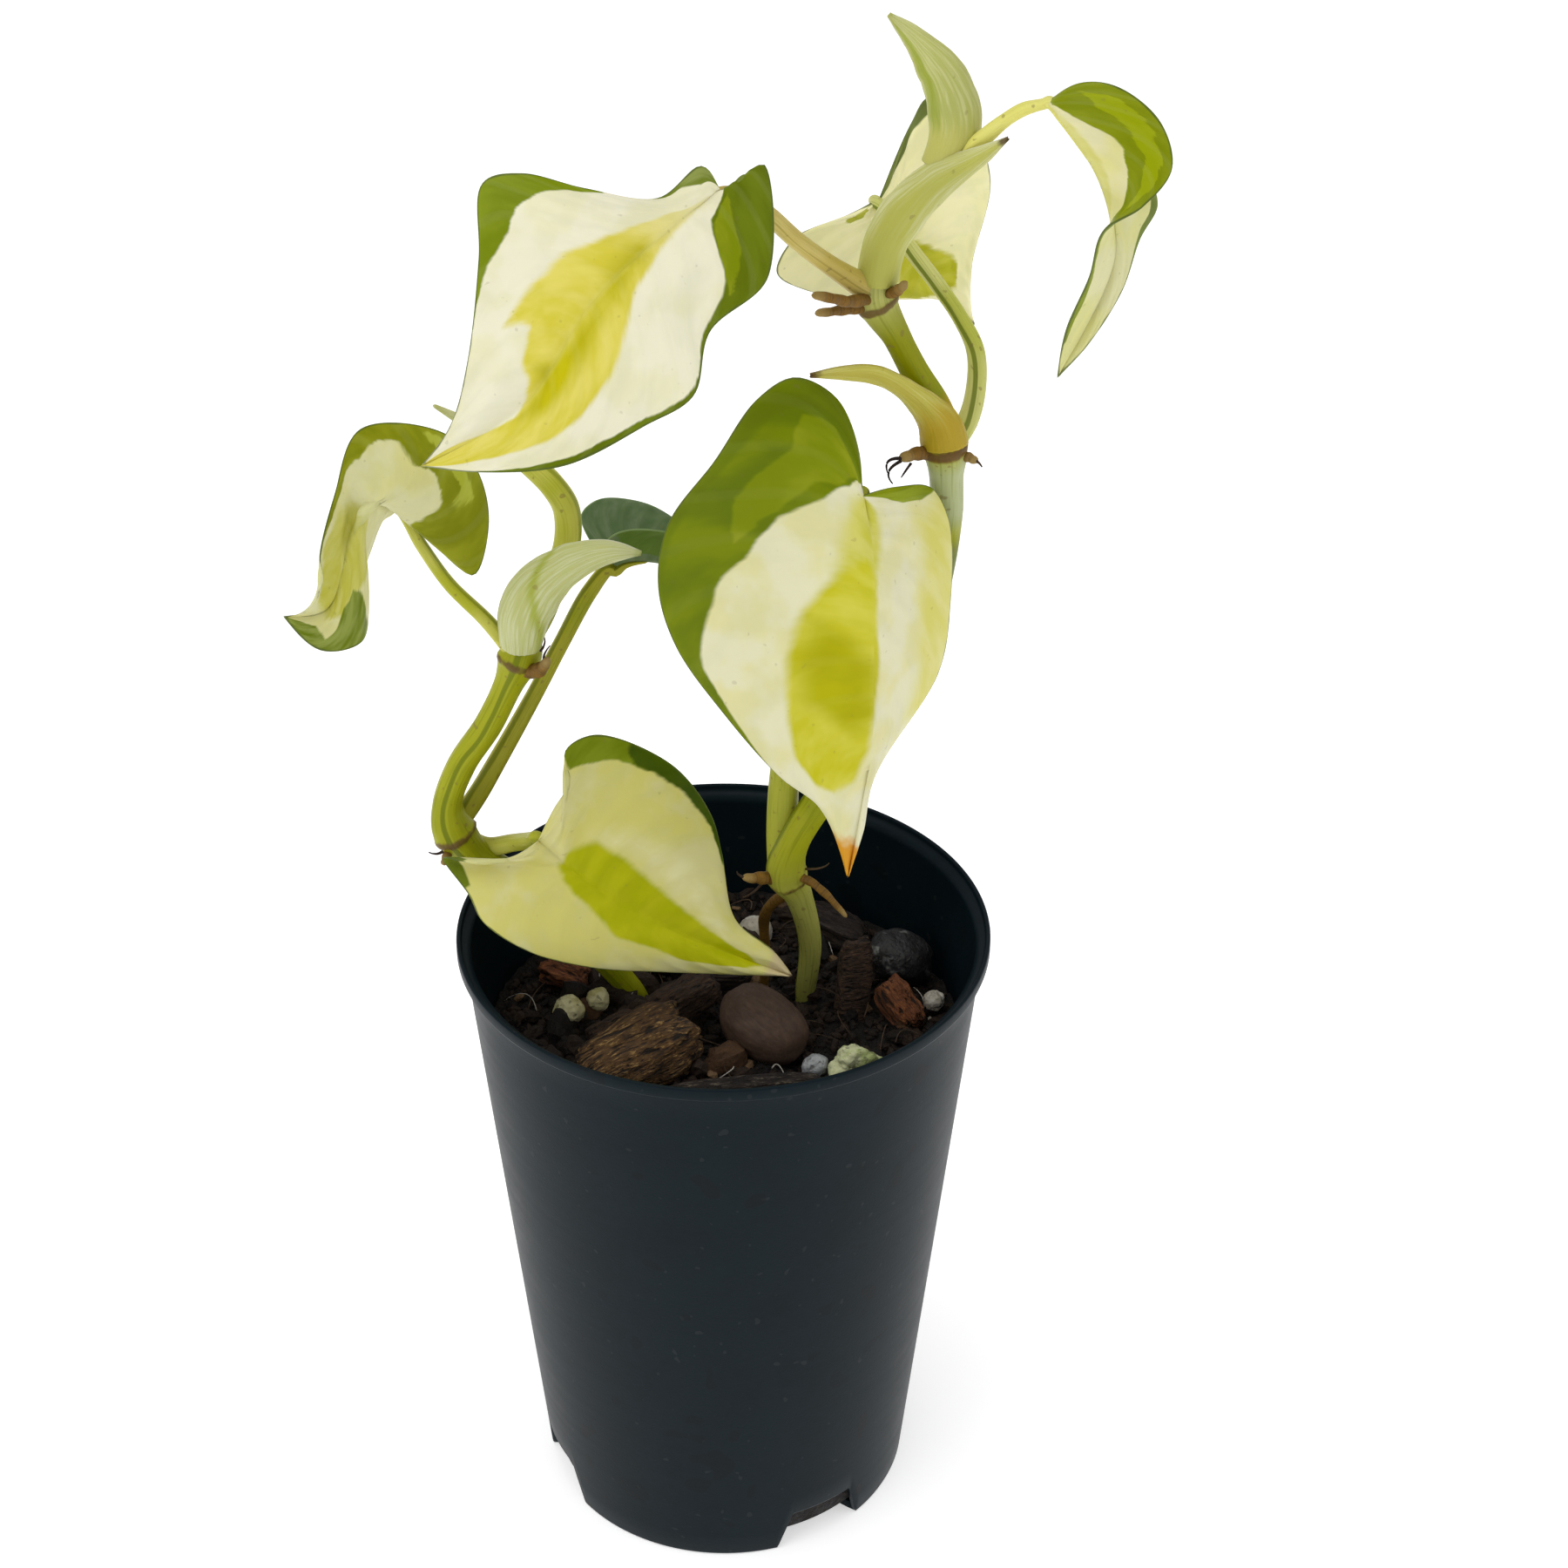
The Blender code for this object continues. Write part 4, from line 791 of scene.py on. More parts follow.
def ball(rows, sides):
    """Directions over a sphere, as a grid from its bottom to its top and then its two poles."""
    up = np.linspace(-np.pi / 2, np.pi / 2, rows + 2)[1:-1, None]
    turn = np.linspace(0, 2 * np.pi, sides, endpoint=False)[None]
    grid = np.stack([np.cos(up) * np.cos(turn), np.cos(up) * np.sin(turn), np.sin(up) + 0 * turn], axis=-1)
    return np.concatenate([grid.reshape(-1, 3), [[0, 0, -1]], [[0, 0, 1]]])


def make_lump(node, shape, finish, blocky=False, rows=44, sides=56):
    """A chip or stone, worked out about its own middle, then turned and put in its place.

    A ball of directions is pushed towards a box by raising each part of them to a power below 1,
    then in and out by noise. A chip's fibres are noise stretched eight times along its length.
    """
    centre, size, turn, roughness = shape
    seed, way = np.array(centre, float), ball(rows, sides)
    body = np.sign(way) * np.abs(way) ** (0.5 if blocky else 0.92) * 0.5
    if blocky:
        body *= (1 - 0.36 * np.maximum(np.linalg.norm(body, axis=1) - 0.52, 0))[:, None]
    body *= (1 + roughness * rough(body * 3 + seed, 11))[:, None]
    points = body * size
    if blocky:
        grain = noise(points * (0.22, 1.9, 1.9) + seed, 21) + 0.6 * noise(points * (0.5, 4.2, 4.2) + seed, 22)
        points += unit(points) * (0.3 * grain)[:, None]
    points += unit(points) * (0.06 * noise(points * 2.5 + seed, 23))[:, None]
    turned = np.array(Euler([math.radians(angle) for angle in turn]).to_matrix())
    quads, fans = grid_faces(rows, sides)
    marks = {"lengthwise": points[:, 0], "across": points[:, 1], "deep": points[:, 2]}
    placed = points @ turned.T + above_rim(centre)
    return add_mesh(node + "_piece", placed, quads, fans, finish, [node], marks)


def wall_radius(height):
    """Outer radius of the pot's wall at a height above the ground."""
    return BASE_RADIUS + (WALL_TOP_RADIUS - BASE_RADIUS) * height / (RIM_HEIGHT - LIP_HEIGHT)


def notch_height(angle):
    """How high the pot's lower edge stands at an angle round it: 0, or the notches' sloped arch."""
    low = math.asin(NOTCH_WIDTH / 2 / BASE_RADIUS)
    high = math.asin((NOTCH_WIDTH / 2 - 1.8) / BASE_RADIUS)
    height = np.zeros_like(angle)
    for middle in NOTCH_ANGLES:
        gap = np.abs((angle - math.radians(middle) + np.pi) % (2 * np.pi) - np.pi)
        height = np.maximum(height, NOTCH_HEIGHT * np.clip((low - gap) / (low - high), 0, 1))
    return height


def make_pot(finish):
    """The wall with its turned-out lip, as a closed loop of (radius, height) carried round the axis.

    The loop's lower edge rises to the notch height. The floor is a disc whose radius drops by the
    notches' reach inside them. Both have fine rounded edges.
    """
    angle = np.linspace(0, 2 * np.pi, POT_SIDES, endpoint=False)
    edge = notch_height(angle)
    lip_low = RIM_HEIGHT - LIP_HEIGHT
    ledge = lip_low + POT_WALL
    outer, inner = wall_radius(lip_low), RIM_RADIUS - LIP_WALL
    bend = np.linspace(0, np.pi, 9)
    lip = [
        (RIM_RADIUS - LIP_WALL / 2 * (1 - math.cos(b)), RIM_HEIGHT - LIP_WALL / 2 * (1 - math.sin(b)))
        for b in bend
    ]
    upper = [(outer, lip_low - 0.35), (outer + 0.08, lip_low - 0.08), (outer + 0.3, lip_low)]
    upper += [(RIM_RADIUS - 0.3, lip_low), (RIM_RADIUS - 0.08, lip_low + 0.08), (RIM_RADIUS, lip_low + 0.3)]
    upper += lip + [(inner, ledge + 0.3), (inner - 0.1, ledge + 0.08), (inner - 0.4, ledge - 0.05)]
    upper += [(outer - POT_WALL, ledge - 0.5), (outer - POT_WALL, lip_low - 0.4)]
    # Below the lip the wall runs straight from its lower edge, outside and then inside.
    sides = np.linspace(0, 1, 26)[:-1]
    floor_edge = np.maximum(edge, 0)[:, None]
    bottom = floor_edge + 0.35
    outside = bottom + (lip_low - 0.6 - bottom) * sides[None]
    inside = outside[:, ::-1]
    columns = [
        np.stack([wall_radius(floor_edge) - 0.3, floor_edge], axis=-1),
        np.stack([wall_radius(floor_edge) - 0.08, floor_edge + 0.08], axis=-1),
        np.stack([wall_radius(outside), outside], axis=-1),
        np.broadcast_to(np.array(upper)[None], (POT_SIDES, len(upper), 2)),
        np.stack([wall_radius(inside) - POT_WALL, inside], axis=-1),
        np.stack([wall_radius(floor_edge) - POT_WALL + 0.08, floor_edge + 0.08], axis=-1),
    ]
    loop = np.concatenate(columns, axis=1)
    across = np.stack([np.cos(angle), np.sin(angle)], axis=-1)[:, None]
    wall = np.concatenate([across * loop[..., :1], loop[..., 1:]], axis=-1)
    long, short = wall.shape[:2]
    index = np.arange(long * short).reshape(long, short)
    quads = np.stack(
        [index, np.roll(index, -1, 0), np.roll(np.roll(index, -1, 0), -1, 1), np.roll(index, -1, 1)], axis=-1
    ).reshape(-1, 4)
    # The floor: a flat disc with a rounded edge, from its lower middle round to its upper middle.
    reach = (BASE_RADIUS - 0.4) - (NOTCH_REACH - 0.4) * np.clip(edge / NOTCH_HEIGHT * 1.4, 0, 1)
    profile = (
        (0.35, 0), (0.8, 0), (1, 0), (1, 0.08),
        (1, POT_FLOOR - 0.15), (0.99, POT_FLOOR), (0.7, POT_FLOOR), (0.35, POT_FLOOR),
    )
    rims = [(across[:, 0] * (reach * part)[:, None], np.full(POT_SIDES, height)) for part, height in profile]
    disc = np.stack([np.column_stack(rim) for rim in rims])
    floor_quads, floor_fans = grid_faces(len(profile), POT_SIDES, start=long * short)
    points = np.concatenate([wall.reshape(-1, 3), disc.reshape(-1, 3), [[0, 0, 0]], [[0, 0, POT_FLOOR]]])
    if looks_in(points, quads):
        quads = quads[:, ::-1]
    if looks_in(points, floor_quads):
        floor_quads, floor_fans = floor_quads[:, ::-1], floor_fans[:, ::-1]
    return add_mesh(
        "nursery_pot", points, np.concatenate([quads, floor_quads]), floor_fans, finish, ["pot"]
    )


def mix_height(x, y):
    """Height of the mix's top: its level with slow and fast unevenness on it."""
    flat = np.stack([x, y, 0 * x], axis=-1)
    return RIM_HEIGHT - MIX_DEPTH + 0.75 * rough(flat * 0.22, 31) + 0.35 * rough(flat * 0.9, 32)


def make_mix(finish):
    """The mix: a rough top over a plain side and underside, all one closed skin round the axis."""
    turn = np.linspace(0, 2 * np.pi, MIX_SIDES, endpoint=False)
    low = POT_FLOOR + 0.3
    level = RIM_HEIGHT - MIX_DEPTH
    top = wall_radius(level) - POT_WALL - 0.3
    rings = [(wall_radius(low) - 2.1, low), (wall_radius(low + 1) - 1.1, low + 1), (top, level - 2.5)]
    radii = top * np.sqrt(np.linspace(1, 0.0004, 90))
    grid = [np.stack([r * np.cos(turn), r * np.sin(turn), np.full(MIX_SIDES, z)], axis=-1) for r, z in rings]
    for radius in radii:
        x, y = radius * np.cos(turn), radius * np.sin(turn)
        grid.append(np.stack([x, y, mix_height(x, y)], axis=-1))
    grid = np.array(grid)
    ends = np.array([[0, 0, low], grid[-1].mean(axis=0)])
    return add_closed_grid("mix_bed", grid, ends, finish, ["potting_mix"])


def add_copies(name, points, rows, sides, tone, finish, smooth=True):
    """Many small closed grids as one mesh, from (copy, point, 3), each copy with its own tone."""
    count, each = points.shape[:2]
    start = (np.arange(count) * each)[:, None, None]
    quads, fans = grid_faces(rows, sides)
    quads, fans = (quads + start).reshape(-1, 4), (fans + start).reshape(-1, 3)
    marks = {"tone": np.repeat(tone, each)}
    return add_mesh(name, points.reshape(-1, 3), quads, fans, finish, [], marks, smooth=smooth)


def scatter(name, count, scale, stretch, seed, skin, rows=3, sides=6, sink=0.2, within=27.6):
    """Many small broken bits as one mesh: a ball of directions, dented, stretched, turned and laid
    on the mix, worked out for all of them at once."""
    draw = np.random.default_rng(seed)
    way = ball(rows, sides)
    size = scale[0] + (scale[1] - scale[0]) * draw.random(count) ** 2.2
    shape = size[:, None] * (1 + (np.array(stretch) - 1) * draw.random((count, 3)))
    bits = way[None] * (1 + 0.35 * (draw.random((count, len(way), 1)) - 0.5)) * shape[:, None] * 0.5
    axis = unit(draw.normal(size=(count, 3)))
    spin = draw.random(count) * 2 * np.pi
    c, s = np.cos(spin)[:, None, None], np.sin(spin)[:, None, None]
    cross = np.zeros((count, 3, 3))
    cross[:, [2, 0, 1], [1, 2, 0]] = axis
    cross[:, [1, 2, 0], [2, 0, 1]] = -axis
    turned = c * np.eye(3) + s * cross + (1 - c) * axis[:, :, None] * axis[:, None]
    bits = np.einsum("nij,nkj->nki", turned, bits)
    radius, angle = within * np.sqrt(draw.random(count)), draw.random(count) * 2 * np.pi
    x, y = radius * np.cos(angle), radius * np.sin(angle)
    place = np.stack([x, y, mix_height(x, y) + size * (0.4 - sink)], axis=-1)
    points = bits + place[:, None]
    tone = draw.random(count)
    return add_copies(name, points, rows, sides, tone, crumb_finish(name, *skin), smooth=False)


def strands(name, starts, ends, sag, radius, finish, tone, rows=14, sides=5):
    """Fine bent hairs as one mesh. Each is a parabola from its start to its end, pushed sideways
    by `sag` at its middle, with a radius that tapers to a third at its end."""
    starts, ends, sag = np.array(starts, float), np.array(ends, float), np.array(sag, float)
    t = np.linspace(0, 1, rows)[None, :, None]
    line = starts[:, None] * (1 - t) + ends[:, None] * t + sag[:, None] * 4 * t * (1 - t)
    tangent = unit(np.gradient(line, axis=1))
    front = unit(np.cross(tangent, np.array((0.31, 0.17, 0.93))))
    side = np.cross(tangent, front)
    turn = np.linspace(0, 2 * np.pi, sides, endpoint=False)[:, None]
    width = (np.array(radius, float)[:, None, None] * (1 - 0.66 * t))[:, :, None]
    grid = line[:, :, None] + (front[:, :, None] * np.cos(turn) + side[:, :, None] * np.sin(turn)) * width
    points = np.concatenate([grid.reshape(len(starts), -1, 3), line[:, [0, -1]]], axis=1)
    return add_copies(name, points, rows, sides, tone, finish)


# Finishes


class Signal:
    """One output of a node. Arithmetic on it adds math nodes to the same tree."""

    def __init__(self, nodes, socket):
        self.nodes, self.socket = nodes, socket

    def other(self, label):
        """Another output of the same node."""
        return Signal(self.nodes, self.socket.node.outputs[label])

    def maths(self, operation, *values):
        return self.nodes.add("ShaderNodeMath", enumerate((self, *values)), operation=operation)

    def __add__(self, value):
        return self.maths("ADD", value)

    def __sub__(self, value):
        return self.maths("SUBTRACT", value)

    def __mul__(self, value):
        return self.maths("MULTIPLY", value)

    def __truediv__(self, value):
        return self.maths("DIVIDE", value)

    def __abs__(self):
        return self.maths("ABSOLUTE")

    def between(self, low, high, first=0.0, last=1.0):
        """The value mapped smoothly from low..high to first..last."""
        inputs = enumerate((self, low, high, first, last))
        return self.nodes.add("ShaderNodeMapRange", inputs, interpolation_type="SMOOTHSTEP")


def set_value(socket, value):
    """Gives a socket its plain value. Colours are written without their alpha."""
    socket.default_value = (*value, 1) if socket.type == "RGBA" else value


class Nodes:
    """A material's or a group's node tree, with short ways to add to it."""

    def __init__(self, tree):
        self.tree = tree

    def add(self, kind, inputs=(), out=0, **settings):
        """A node with these settings and inputs, each a value or another node's output."""
        made = self.tree.nodes.new(kind)
        for label, value in settings.items():
            setattr(made, label, value)
        for label, value in dict(inputs).items():
            if isinstance(value, Signal):
                self.tree.links.new(value.socket, made.inputs[label])
            else:
                set_value(made.inputs[label], value)
        return Signal(self, made.outputs[out])

    def mark(self, label):
        return self.add("ShaderNodeAttribute", out="Fac", attribute_name=label)

    def noise(self, vector, scale, detail=2.0):
        return self.add("ShaderNodeTexNoise", {"Vector": vector, "Scale": scale, "Detail": detail})

    def mix(self, factor, first, second, blend="MIX"):
        inputs = {0: factor, 6: first, 7: second}
        return self.add("ShaderNodeMix", inputs, out=2, data_type="RGBA", blend_type=blend)

    def combine(self, *parts):
        return self.add("ShaderNodeCombineXYZ", enumerate(parts))

    def group(self, tree, out, **inputs):
        return self.add("ShaderNodeGroup", inputs, out, node_tree=tree)


def new_group(name, inputs, outputs, build):
    """A shader group. `inputs` is name to (kind, default value) and `outputs` name to kind.

    `build` takes the tree and a signal for each input, and gives a signal for each output.
    """
    tree = bpy.data.node_groups.new(name, "ShaderNodeTree")
    for label, (kind, value) in inputs.items():
        socket = tree.interface.new_socket(name=label, in_out="INPUT", socket_type="NodeSocket" + kind)
        if value is not None:
            socket.default_value = value
    for label, kind in outputs.items():
        tree.interface.new_socket(name=label, in_out="OUTPUT", socket_type="NodeSocket" + kind)
    nodes = Nodes(tree)
    entry, leave = tree.nodes.new("NodeGroupInput"), tree.nodes.new("NodeGroupOutput")
    found = build(nodes, *(Signal(nodes, entry.outputs[label]) for label in inputs))
    for label, signal in zip(outputs, found):
        tree.links.new(signal.socket, leave.inputs[label])
    return tree


def ragged_patch(nodes, distance, streaks, ragged, soft):
    """1 inside an outline and 0 outside, with an edge that steps along the veins."""
    both = nodes.noise(streaks, 1.0, 1.5) + nodes.noise(streaks, 4.2, 1.0) * 0.35
    return [((distance + (both - 0.68) * (ragged * 3.2)) / soft).between(-1.0, 1.0)]


def vein_streaks(nodes, share, place, seed):
    """A vector that runs fast across the side veins and slowly along them, the veins themselves as
    fine lines, and a fine hatching that follows them."""
    reach = abs(place)
    depth = place.maths("SIGN") * 3.0 + seed
    streaks = nodes.combine((share - reach * 0.24) * 26.0, reach * 2.4, depth)
    phase = share * 12.0 - reach.maths("POWER", 1.3) * 2.6
    lines = (phase * (2 * math.pi)).maths("SINE").between(0.55, 1.0)
    return streaks, lines, nodes.noise(nodes.combine(phase * 1.1, reach * 2.2, depth), 1.0, 3.0)


def mottling(nodes, colour, vector, scale, amount):
    """The colour made lighter and darker by noise of two sizes, and that noise."""
    both = nodes.noise(vector, scale, 3.0) * 0.65 + nodes.noise(vector, scale * 5.3) * 0.35
    factor = (both - 0.5) * (amount * 4.0) + 1.0
    return nodes.mix(1.0, colour, nodes.combine(factor, factor, factor), "MULTIPLY"), both


PATCH = new_group(
    "Ragged patch",
    {"Distance": ("Float", 0), "Streaks": ("Vector", None), "Ragged": ("Float", 0.8), "Soft": ("Float", 0.15)},
    {"Mask": "Float"}, ragged_patch,
)
STREAKS = new_group(
    "Vein streaks", {"Share": ("Float", 0), "Place": ("Float", 0), "Seed": ("Float", 0)},
    {"Streaks": "Vector", "Lines": "Float", "Fine": "Float"}, vein_streaks,
)
MOTTLE = new_group(
    "Mottle",
    {
        "Color": ("Color", (0.5, 0.5, 0.5, 1)), "Vector": ("Vector", None), "Scale": ("Float", 500),
        "Amount": ("Float", 0.2),
    },
    {"Color": "Color", "Value": "Float"}, mottling,
)


class Finish(Nodes):
    """A material's node tree. `where` is a point's place on its object, which for these pieces is
    its place in the frame."""

    def __init__(self, name, **plain):
        self.material = bpy.data.materials.new(name)
        self.material.use_nodes = True
        super().__init__(self.material.node_tree)
        self.shader = self.tree.nodes["Principled BSDF"]
        for label, value in plain.items():
            set_value(self.shader.inputs[label.replace("_", " ")], value)
        self.where = self.add("ShaderNodeTexCoord", out="Object")

    def specks(self, colour, speck, scale, detail, low, high, first=0.0, last=1.0):
        """The colour with another laid over it, from strength `first` to `last` as noise rises."""
        return self.mix(self.noise(self.where, scale, detail).between(low, high, first, last), colour, speck)

    def mottle(self, colour, scale, amount):
        """The mottled colour and the noise that mottles it."""
        made = self.group(MOTTLE, "Color", Color=colour, Vector=self.where, Scale=scale, Amount=amount)
        return made, made.other("Value")

    def surface(self):
        """The place round a piece, from 0 to 1, and the place along it."""
        uv = self.add("ShaderNodeUVMap", out="UV", uv_map="surface")
        around = self.add("ShaderNodeSeparateXYZ", {0: uv})
        return around, around.other(1)

    def done(self, colour, roughness, height=None, strength=0.0, distance=0.0):
        """The material, once its shader has these."""
        sockets = {"Base Color": colour, "Roughness": roughness}
        if height:
            bump = {"Height": height, "Strength": strength, "Distance": distance}
            sockets["Normal"] = self.add("ShaderNodeBump", bump)
        for label, signal in sockets.items():
            self.tree.links.new(signal.socket, self.shader.inputs[label])
        return self.material


# What all living green parts share: light goes a little way in.
LIVING = {"Subsurface_Weight": 0.12, "Subsurface_Radius": (0.8, 0.9, 0.2)}
LEAF_COLOURS = {
    "feather": ((0.66, 0.58, 0.05), (0.76, 0.67, 0.14)),
    "core": ((0.47, 0.42, 0.0), (0.56, 0.5, 0.0)),
    "green": ((0.17, 0.225, 0.0), (0.22, 0.28, 0.008)),
    "green_side": ((0.115, 0.155, 0.0), (0.15, 0.2, 0.004)),
    "green_lobe": ((0.15, 0.2, 0.01), (0.26, 0.3, 0.07)),
    "light": ((0.2, 0.25, 0.0), (0.27, 0.31, 0.01)),
    "dark": ((0.12, 0.16, 0.0), (0.15, 0.2, 0.0)),
    "pale": ((0.68, 0.64, 0.27), (0.74, 0.71, 0.38)),
    "midband": ((0.56, 0.54, 0.06), (0.64, 0.61, 0.15)),
    "yellow_side": ((0.66, 0.62, 0.14), (0.72, 0.68, 0.26)),
}
# How ragged and how soft the edge of each marking is, in millimetres.
LEAF_EDGES = {
    "feather": (0.34, 0.4), "core": (0.4, 1.3), "green": (0.25, 0.15), "green_side": (0.25, 0.15),
    "green_lobe": (0.2, 0.15), "light": (0.5, 0.15), "dark": (0.4, 0.2), "pale": (0.5, 1.2),
    "midband": (0.5, 0.9), "yellow_side": (0.8, 1.8),
}


def leaf_finish(
    name, seed, ground, blotch, marks, changes=(), tip=None, margin=(0.08, 0.11, 0.02), fade="", vein=0.04,
    ragged=1.0,
):
    """Living leaf: a ground colour, its markings laid over it, fine veins, a thin dark margin, a
    duller underside, and a satin skin."""
    nodes = Finish("leaf_" + name, Specular_IOR_Level=0.1, Subsurface_Scale=0.0008, **LIVING)
    share, place = nodes.mark("share"), nodes.mark("place")
    streaks = nodes.group(STREAKS, "Streaks", Share=share, Place=place, Seed=float(seed))
    lines, fine = streaks.other("Lines"), streaks.other("Fine")
    cloud = nodes.noise(nodes.where, 170.0, 3.0)
    colour = nodes.mix(cloud.between(0.42, 0.62), ground, blotch)
    colour = nodes.mix((fine + cloud * 0.4).between(0.6, 0.85, 0.0, 0.12), colour, (0.42, 0.45, 0.33))
    shades = {**LEAF_COLOURS, **dict(changes)}
    for label in marks:
        torn, soft = LEAF_EDGES[label]
        mask = nodes.group(
            PATCH, "Mask", Distance=nodes.mark(label), Streaks=streaks, Ragged=torn * ragged, Soft=soft
        )
        if label == fade:
            mask = mask * share.between(0.0, 0.42, 0.2, 1.0)
        colour = nodes.mix(mask, colour, nodes.mix(fine.between(0.36, 0.66), *shades[label]))
    colour = nodes.mix(lines * vein, colour, (0.6, 0.62, 0.3))
    colour = nodes.mix(nodes.mark("off_midrib").between(0.1, 0.6, 2 * vein, 0.0), colour, (0.8, 0.82, 0.4))
    colour = nodes.specks(colour, (0.2, 0.15, 0.05), 1500.0, 0.0, 0.8, 0.86, 0.0, 0.2)
    edge = nodes.mark("off_margin") + nodes.noise(nodes.where, 420.0) * 0.35
    colour = nodes.mix(edge.between(0.27, 0.46, 0.9, 0.0), colour, margin)
    if tip:
        burnt = share + nodes.noise(nodes.where, 500.0) * 0.06
        colour = nodes.mix(burnt.between(tip[0], tip[0] + 0.03), colour, tip[1])
        colour = nodes.mix(burnt.between(1.015, 1.03), colour, (0.12, 0.06, 0.02))
    under = nodes.mark("upper").between(-0.5, 0.5, 1.0, 0.0)
    dull = nodes.mix(0.5, nodes.mix(0.08, colour, (0.45, 0.5, 0.3)), (0.92, 0.95, 0.88), "MULTIPLY")
    grain = nodes.noise(nodes.where, 2600.0)
    return nodes.done(
        nodes.mix(under, colour, dull), under * 0.16 + grain * 0.14 + 0.32,
        lines * 0.5 + fine * 0.55 + grain * 0.25, 0.3, 0.00012,
    )


def stem_finish(name, low, high, stripe, stripe_at, stripe_width, bands=()):
    """Stem skin: two greens that drift along it, a dark stripe, fine lengthwise lines, corky rings
    at the nodes and small specks. Each band is (place, reach, colour) along the stem, in mm. On the
    main vine the stripe and one band are painted shade and one band is partly painted light, as noted
    at its table."""
    nodes = Finish(name, Specular_IOR_Level=0.15, Subsurface_Scale=0.001, **LIVING)
    around, along = nodes.surface()
    colour = nodes.mix(nodes.noise(nodes.where, 90.0).between(0.4, 0.6), low, high)
    for start, reach, shade in bands:
        off_band = abs(nodes.mark("travelled") - start)
        colour = nodes.mix(off_band.between(reach * 0.4, reach, 0.9, 0.0), colour, shade)
    turn = around * (2 * math.pi)
    lengthwise = nodes.combine(turn.maths("SINE") * 3.2, turn.maths("COSINE") * 3.2, along * 0.55)
    lines = nodes.noise(lengthwise, 2.4, 3.0)
    wander = (nodes.noise(nodes.where, 120.0, 1.0) - 0.5) * 0.1
    off_stripe = abs(around - stripe_at + wander)
    colour = nodes.mix(off_stripe.between(stripe_width * 0.5, stripe_width, 0.85, 0.0), colour, stripe)
    colour = nodes.mix(lines.between(0.5, 0.72, 0.0, 0.4), colour, stripe)
    colour = nodes.specks(colour, (0.2, 0.14, 0.04), 1300.0, 0.0, 0.74, 0.8, 0.0, 0.5)
    ring = nodes.mark("node_gap") + nodes.noise(nodes.where, 900.0) * 0.9
    colour = nodes.mix(ring.between(0.75, 1.15, 0.9, 0.0), colour, (0.13, 0.07, 0.02))
    height = lines * 0.8 + nodes.noise(nodes.where, 2200.0) * 0.3
    return nodes.done(colour, lines.between(0.3, 0.7, 0.34, 0.5), height, 0.35, 0.0002)


def sheath_finish(name, base, ribs, tip, centre, foot=None, band=(0.0, 0.45, 0.0), edge=(0.72, 0.73, 0.55)):
    """Papery sheath: pale ribs along it, a greener band, dry brown flecks, paler torn edges, a dry
    tip, and at its foot the colour of the stem under it.

    The band is (place across at the foot, half width, how far it drifts across by the tip).
    """
    nodes = Finish(
        name, Specular_IOR_Level=0.2, Subsurface_Weight=0.25, Subsurface_Radius=(0.9, 0.9, 0.5),
        Subsurface_Scale=0.0015,
    )
    share, place = nodes.mark("share"), nodes.mark("place")
    vector = nodes.combine(place * 7.0, share * 1.6, 3.0)
    lines = nodes.noise(vector, 2.4, 3.0)
    colour = nodes.mix(lines.between(0.4, 0.65), base, ribs)
    off_band = abs(place - (share.maths("POWER", 2.0) * band[2] + band[0])) + nodes.noise(vector, 1.2) * 0.3
    colour = nodes.mix(off_band.between(band[1] * 0.6, band[1] + 0.15, 0.85, 0.0), colour, centre)
    colour = nodes.specks(colour, (0.22, 0.15, 0.05), 900.0, 1.0, 0.7, 0.78, 0.0, 0.4)
    off_edge = nodes.mark("off_margin") + lines * 0.5
    colour = nodes.mix(off_edge.between(0.25, 0.6, 0.6, 0.0), colour, edge)
    if foot:
        up = share + nodes.noise(vector, 1.8) * 0.24
        colour = nodes.mix(up.between(0.26, 0.5, 0.92, 0.0), colour, foot)
    dry = share + nodes.noise(nodes.where, 600.0) * 0.12
    colour = nodes.mix(dry.between(1.0, 1.05), colour, tip)
    height = lines + nodes.noise(nodes.where, 1800.0) * 0.3
    return nodes.done(colour, lines.between(0.3, 0.7, 0.36, 0.55), height, 0.4, 0.0003)


def root_finish():
    """Root cork: brown, darker in rings round it, with a paler growing tip."""
    nodes = Finish("root_cork", Specular_IOR_Level=0.35)
    along = nodes.surface()[1]
    rings = nodes.noise(nodes.combine(along * 14.0, 0.0, 0.0), 3.0)
    colour, value = nodes.mottle((0.19, 0.095, 0.008), 700.0, 0.35)
    colour = nodes.mix(rings.between(0.45, 0.65, 0.0, 0.6), colour, (0.07, 0.035, 0.012))
    colour = nodes.mix(nodes.mark("from_tip").between(0.4, 2.0, 0.7, 0.0), colour, (0.36, 0.25, 0.08))
    return nodes.done(colour, value.between(0.3, 0.7, 0.55, 0.85), value, 0.6, 0.0005)


def pot_finish():
    """Moulded plastic: blue-black, faintly mottled, with a satin skin, dust specks and scuffs."""
    nodes = Finish("pot_plastic", Specular_IOR_Level=0.07)
    colour, value = nodes.mottle((0.0045, 0.0105, 0.0145), 130.0, 0.22)
    colour = nodes.specks(colour, (0.08, 0.08, 0.08), 900.0, 0.0, 0.78, 0.82, 0.0, 0.12)
    colour = nodes.specks(colour, (0.006, 0.007, 0.008), 260.0, 0.0, 0.72, 0.76, 0.0, 0.5)
    drawn = nodes.add("ShaderNodeMapping", {0: nodes.where, 3: (60.0, 60.0, 900.0)})
    hoops = nodes.noise(drawn, 1.0, 3.0)
    height = nodes.noise(nodes.where, 3200.0) + hoops * 0.3
    return nodes.done(colour, hoops * 0.08 + value * 0.12 + 0.3, height, 0.12, 0.0001)


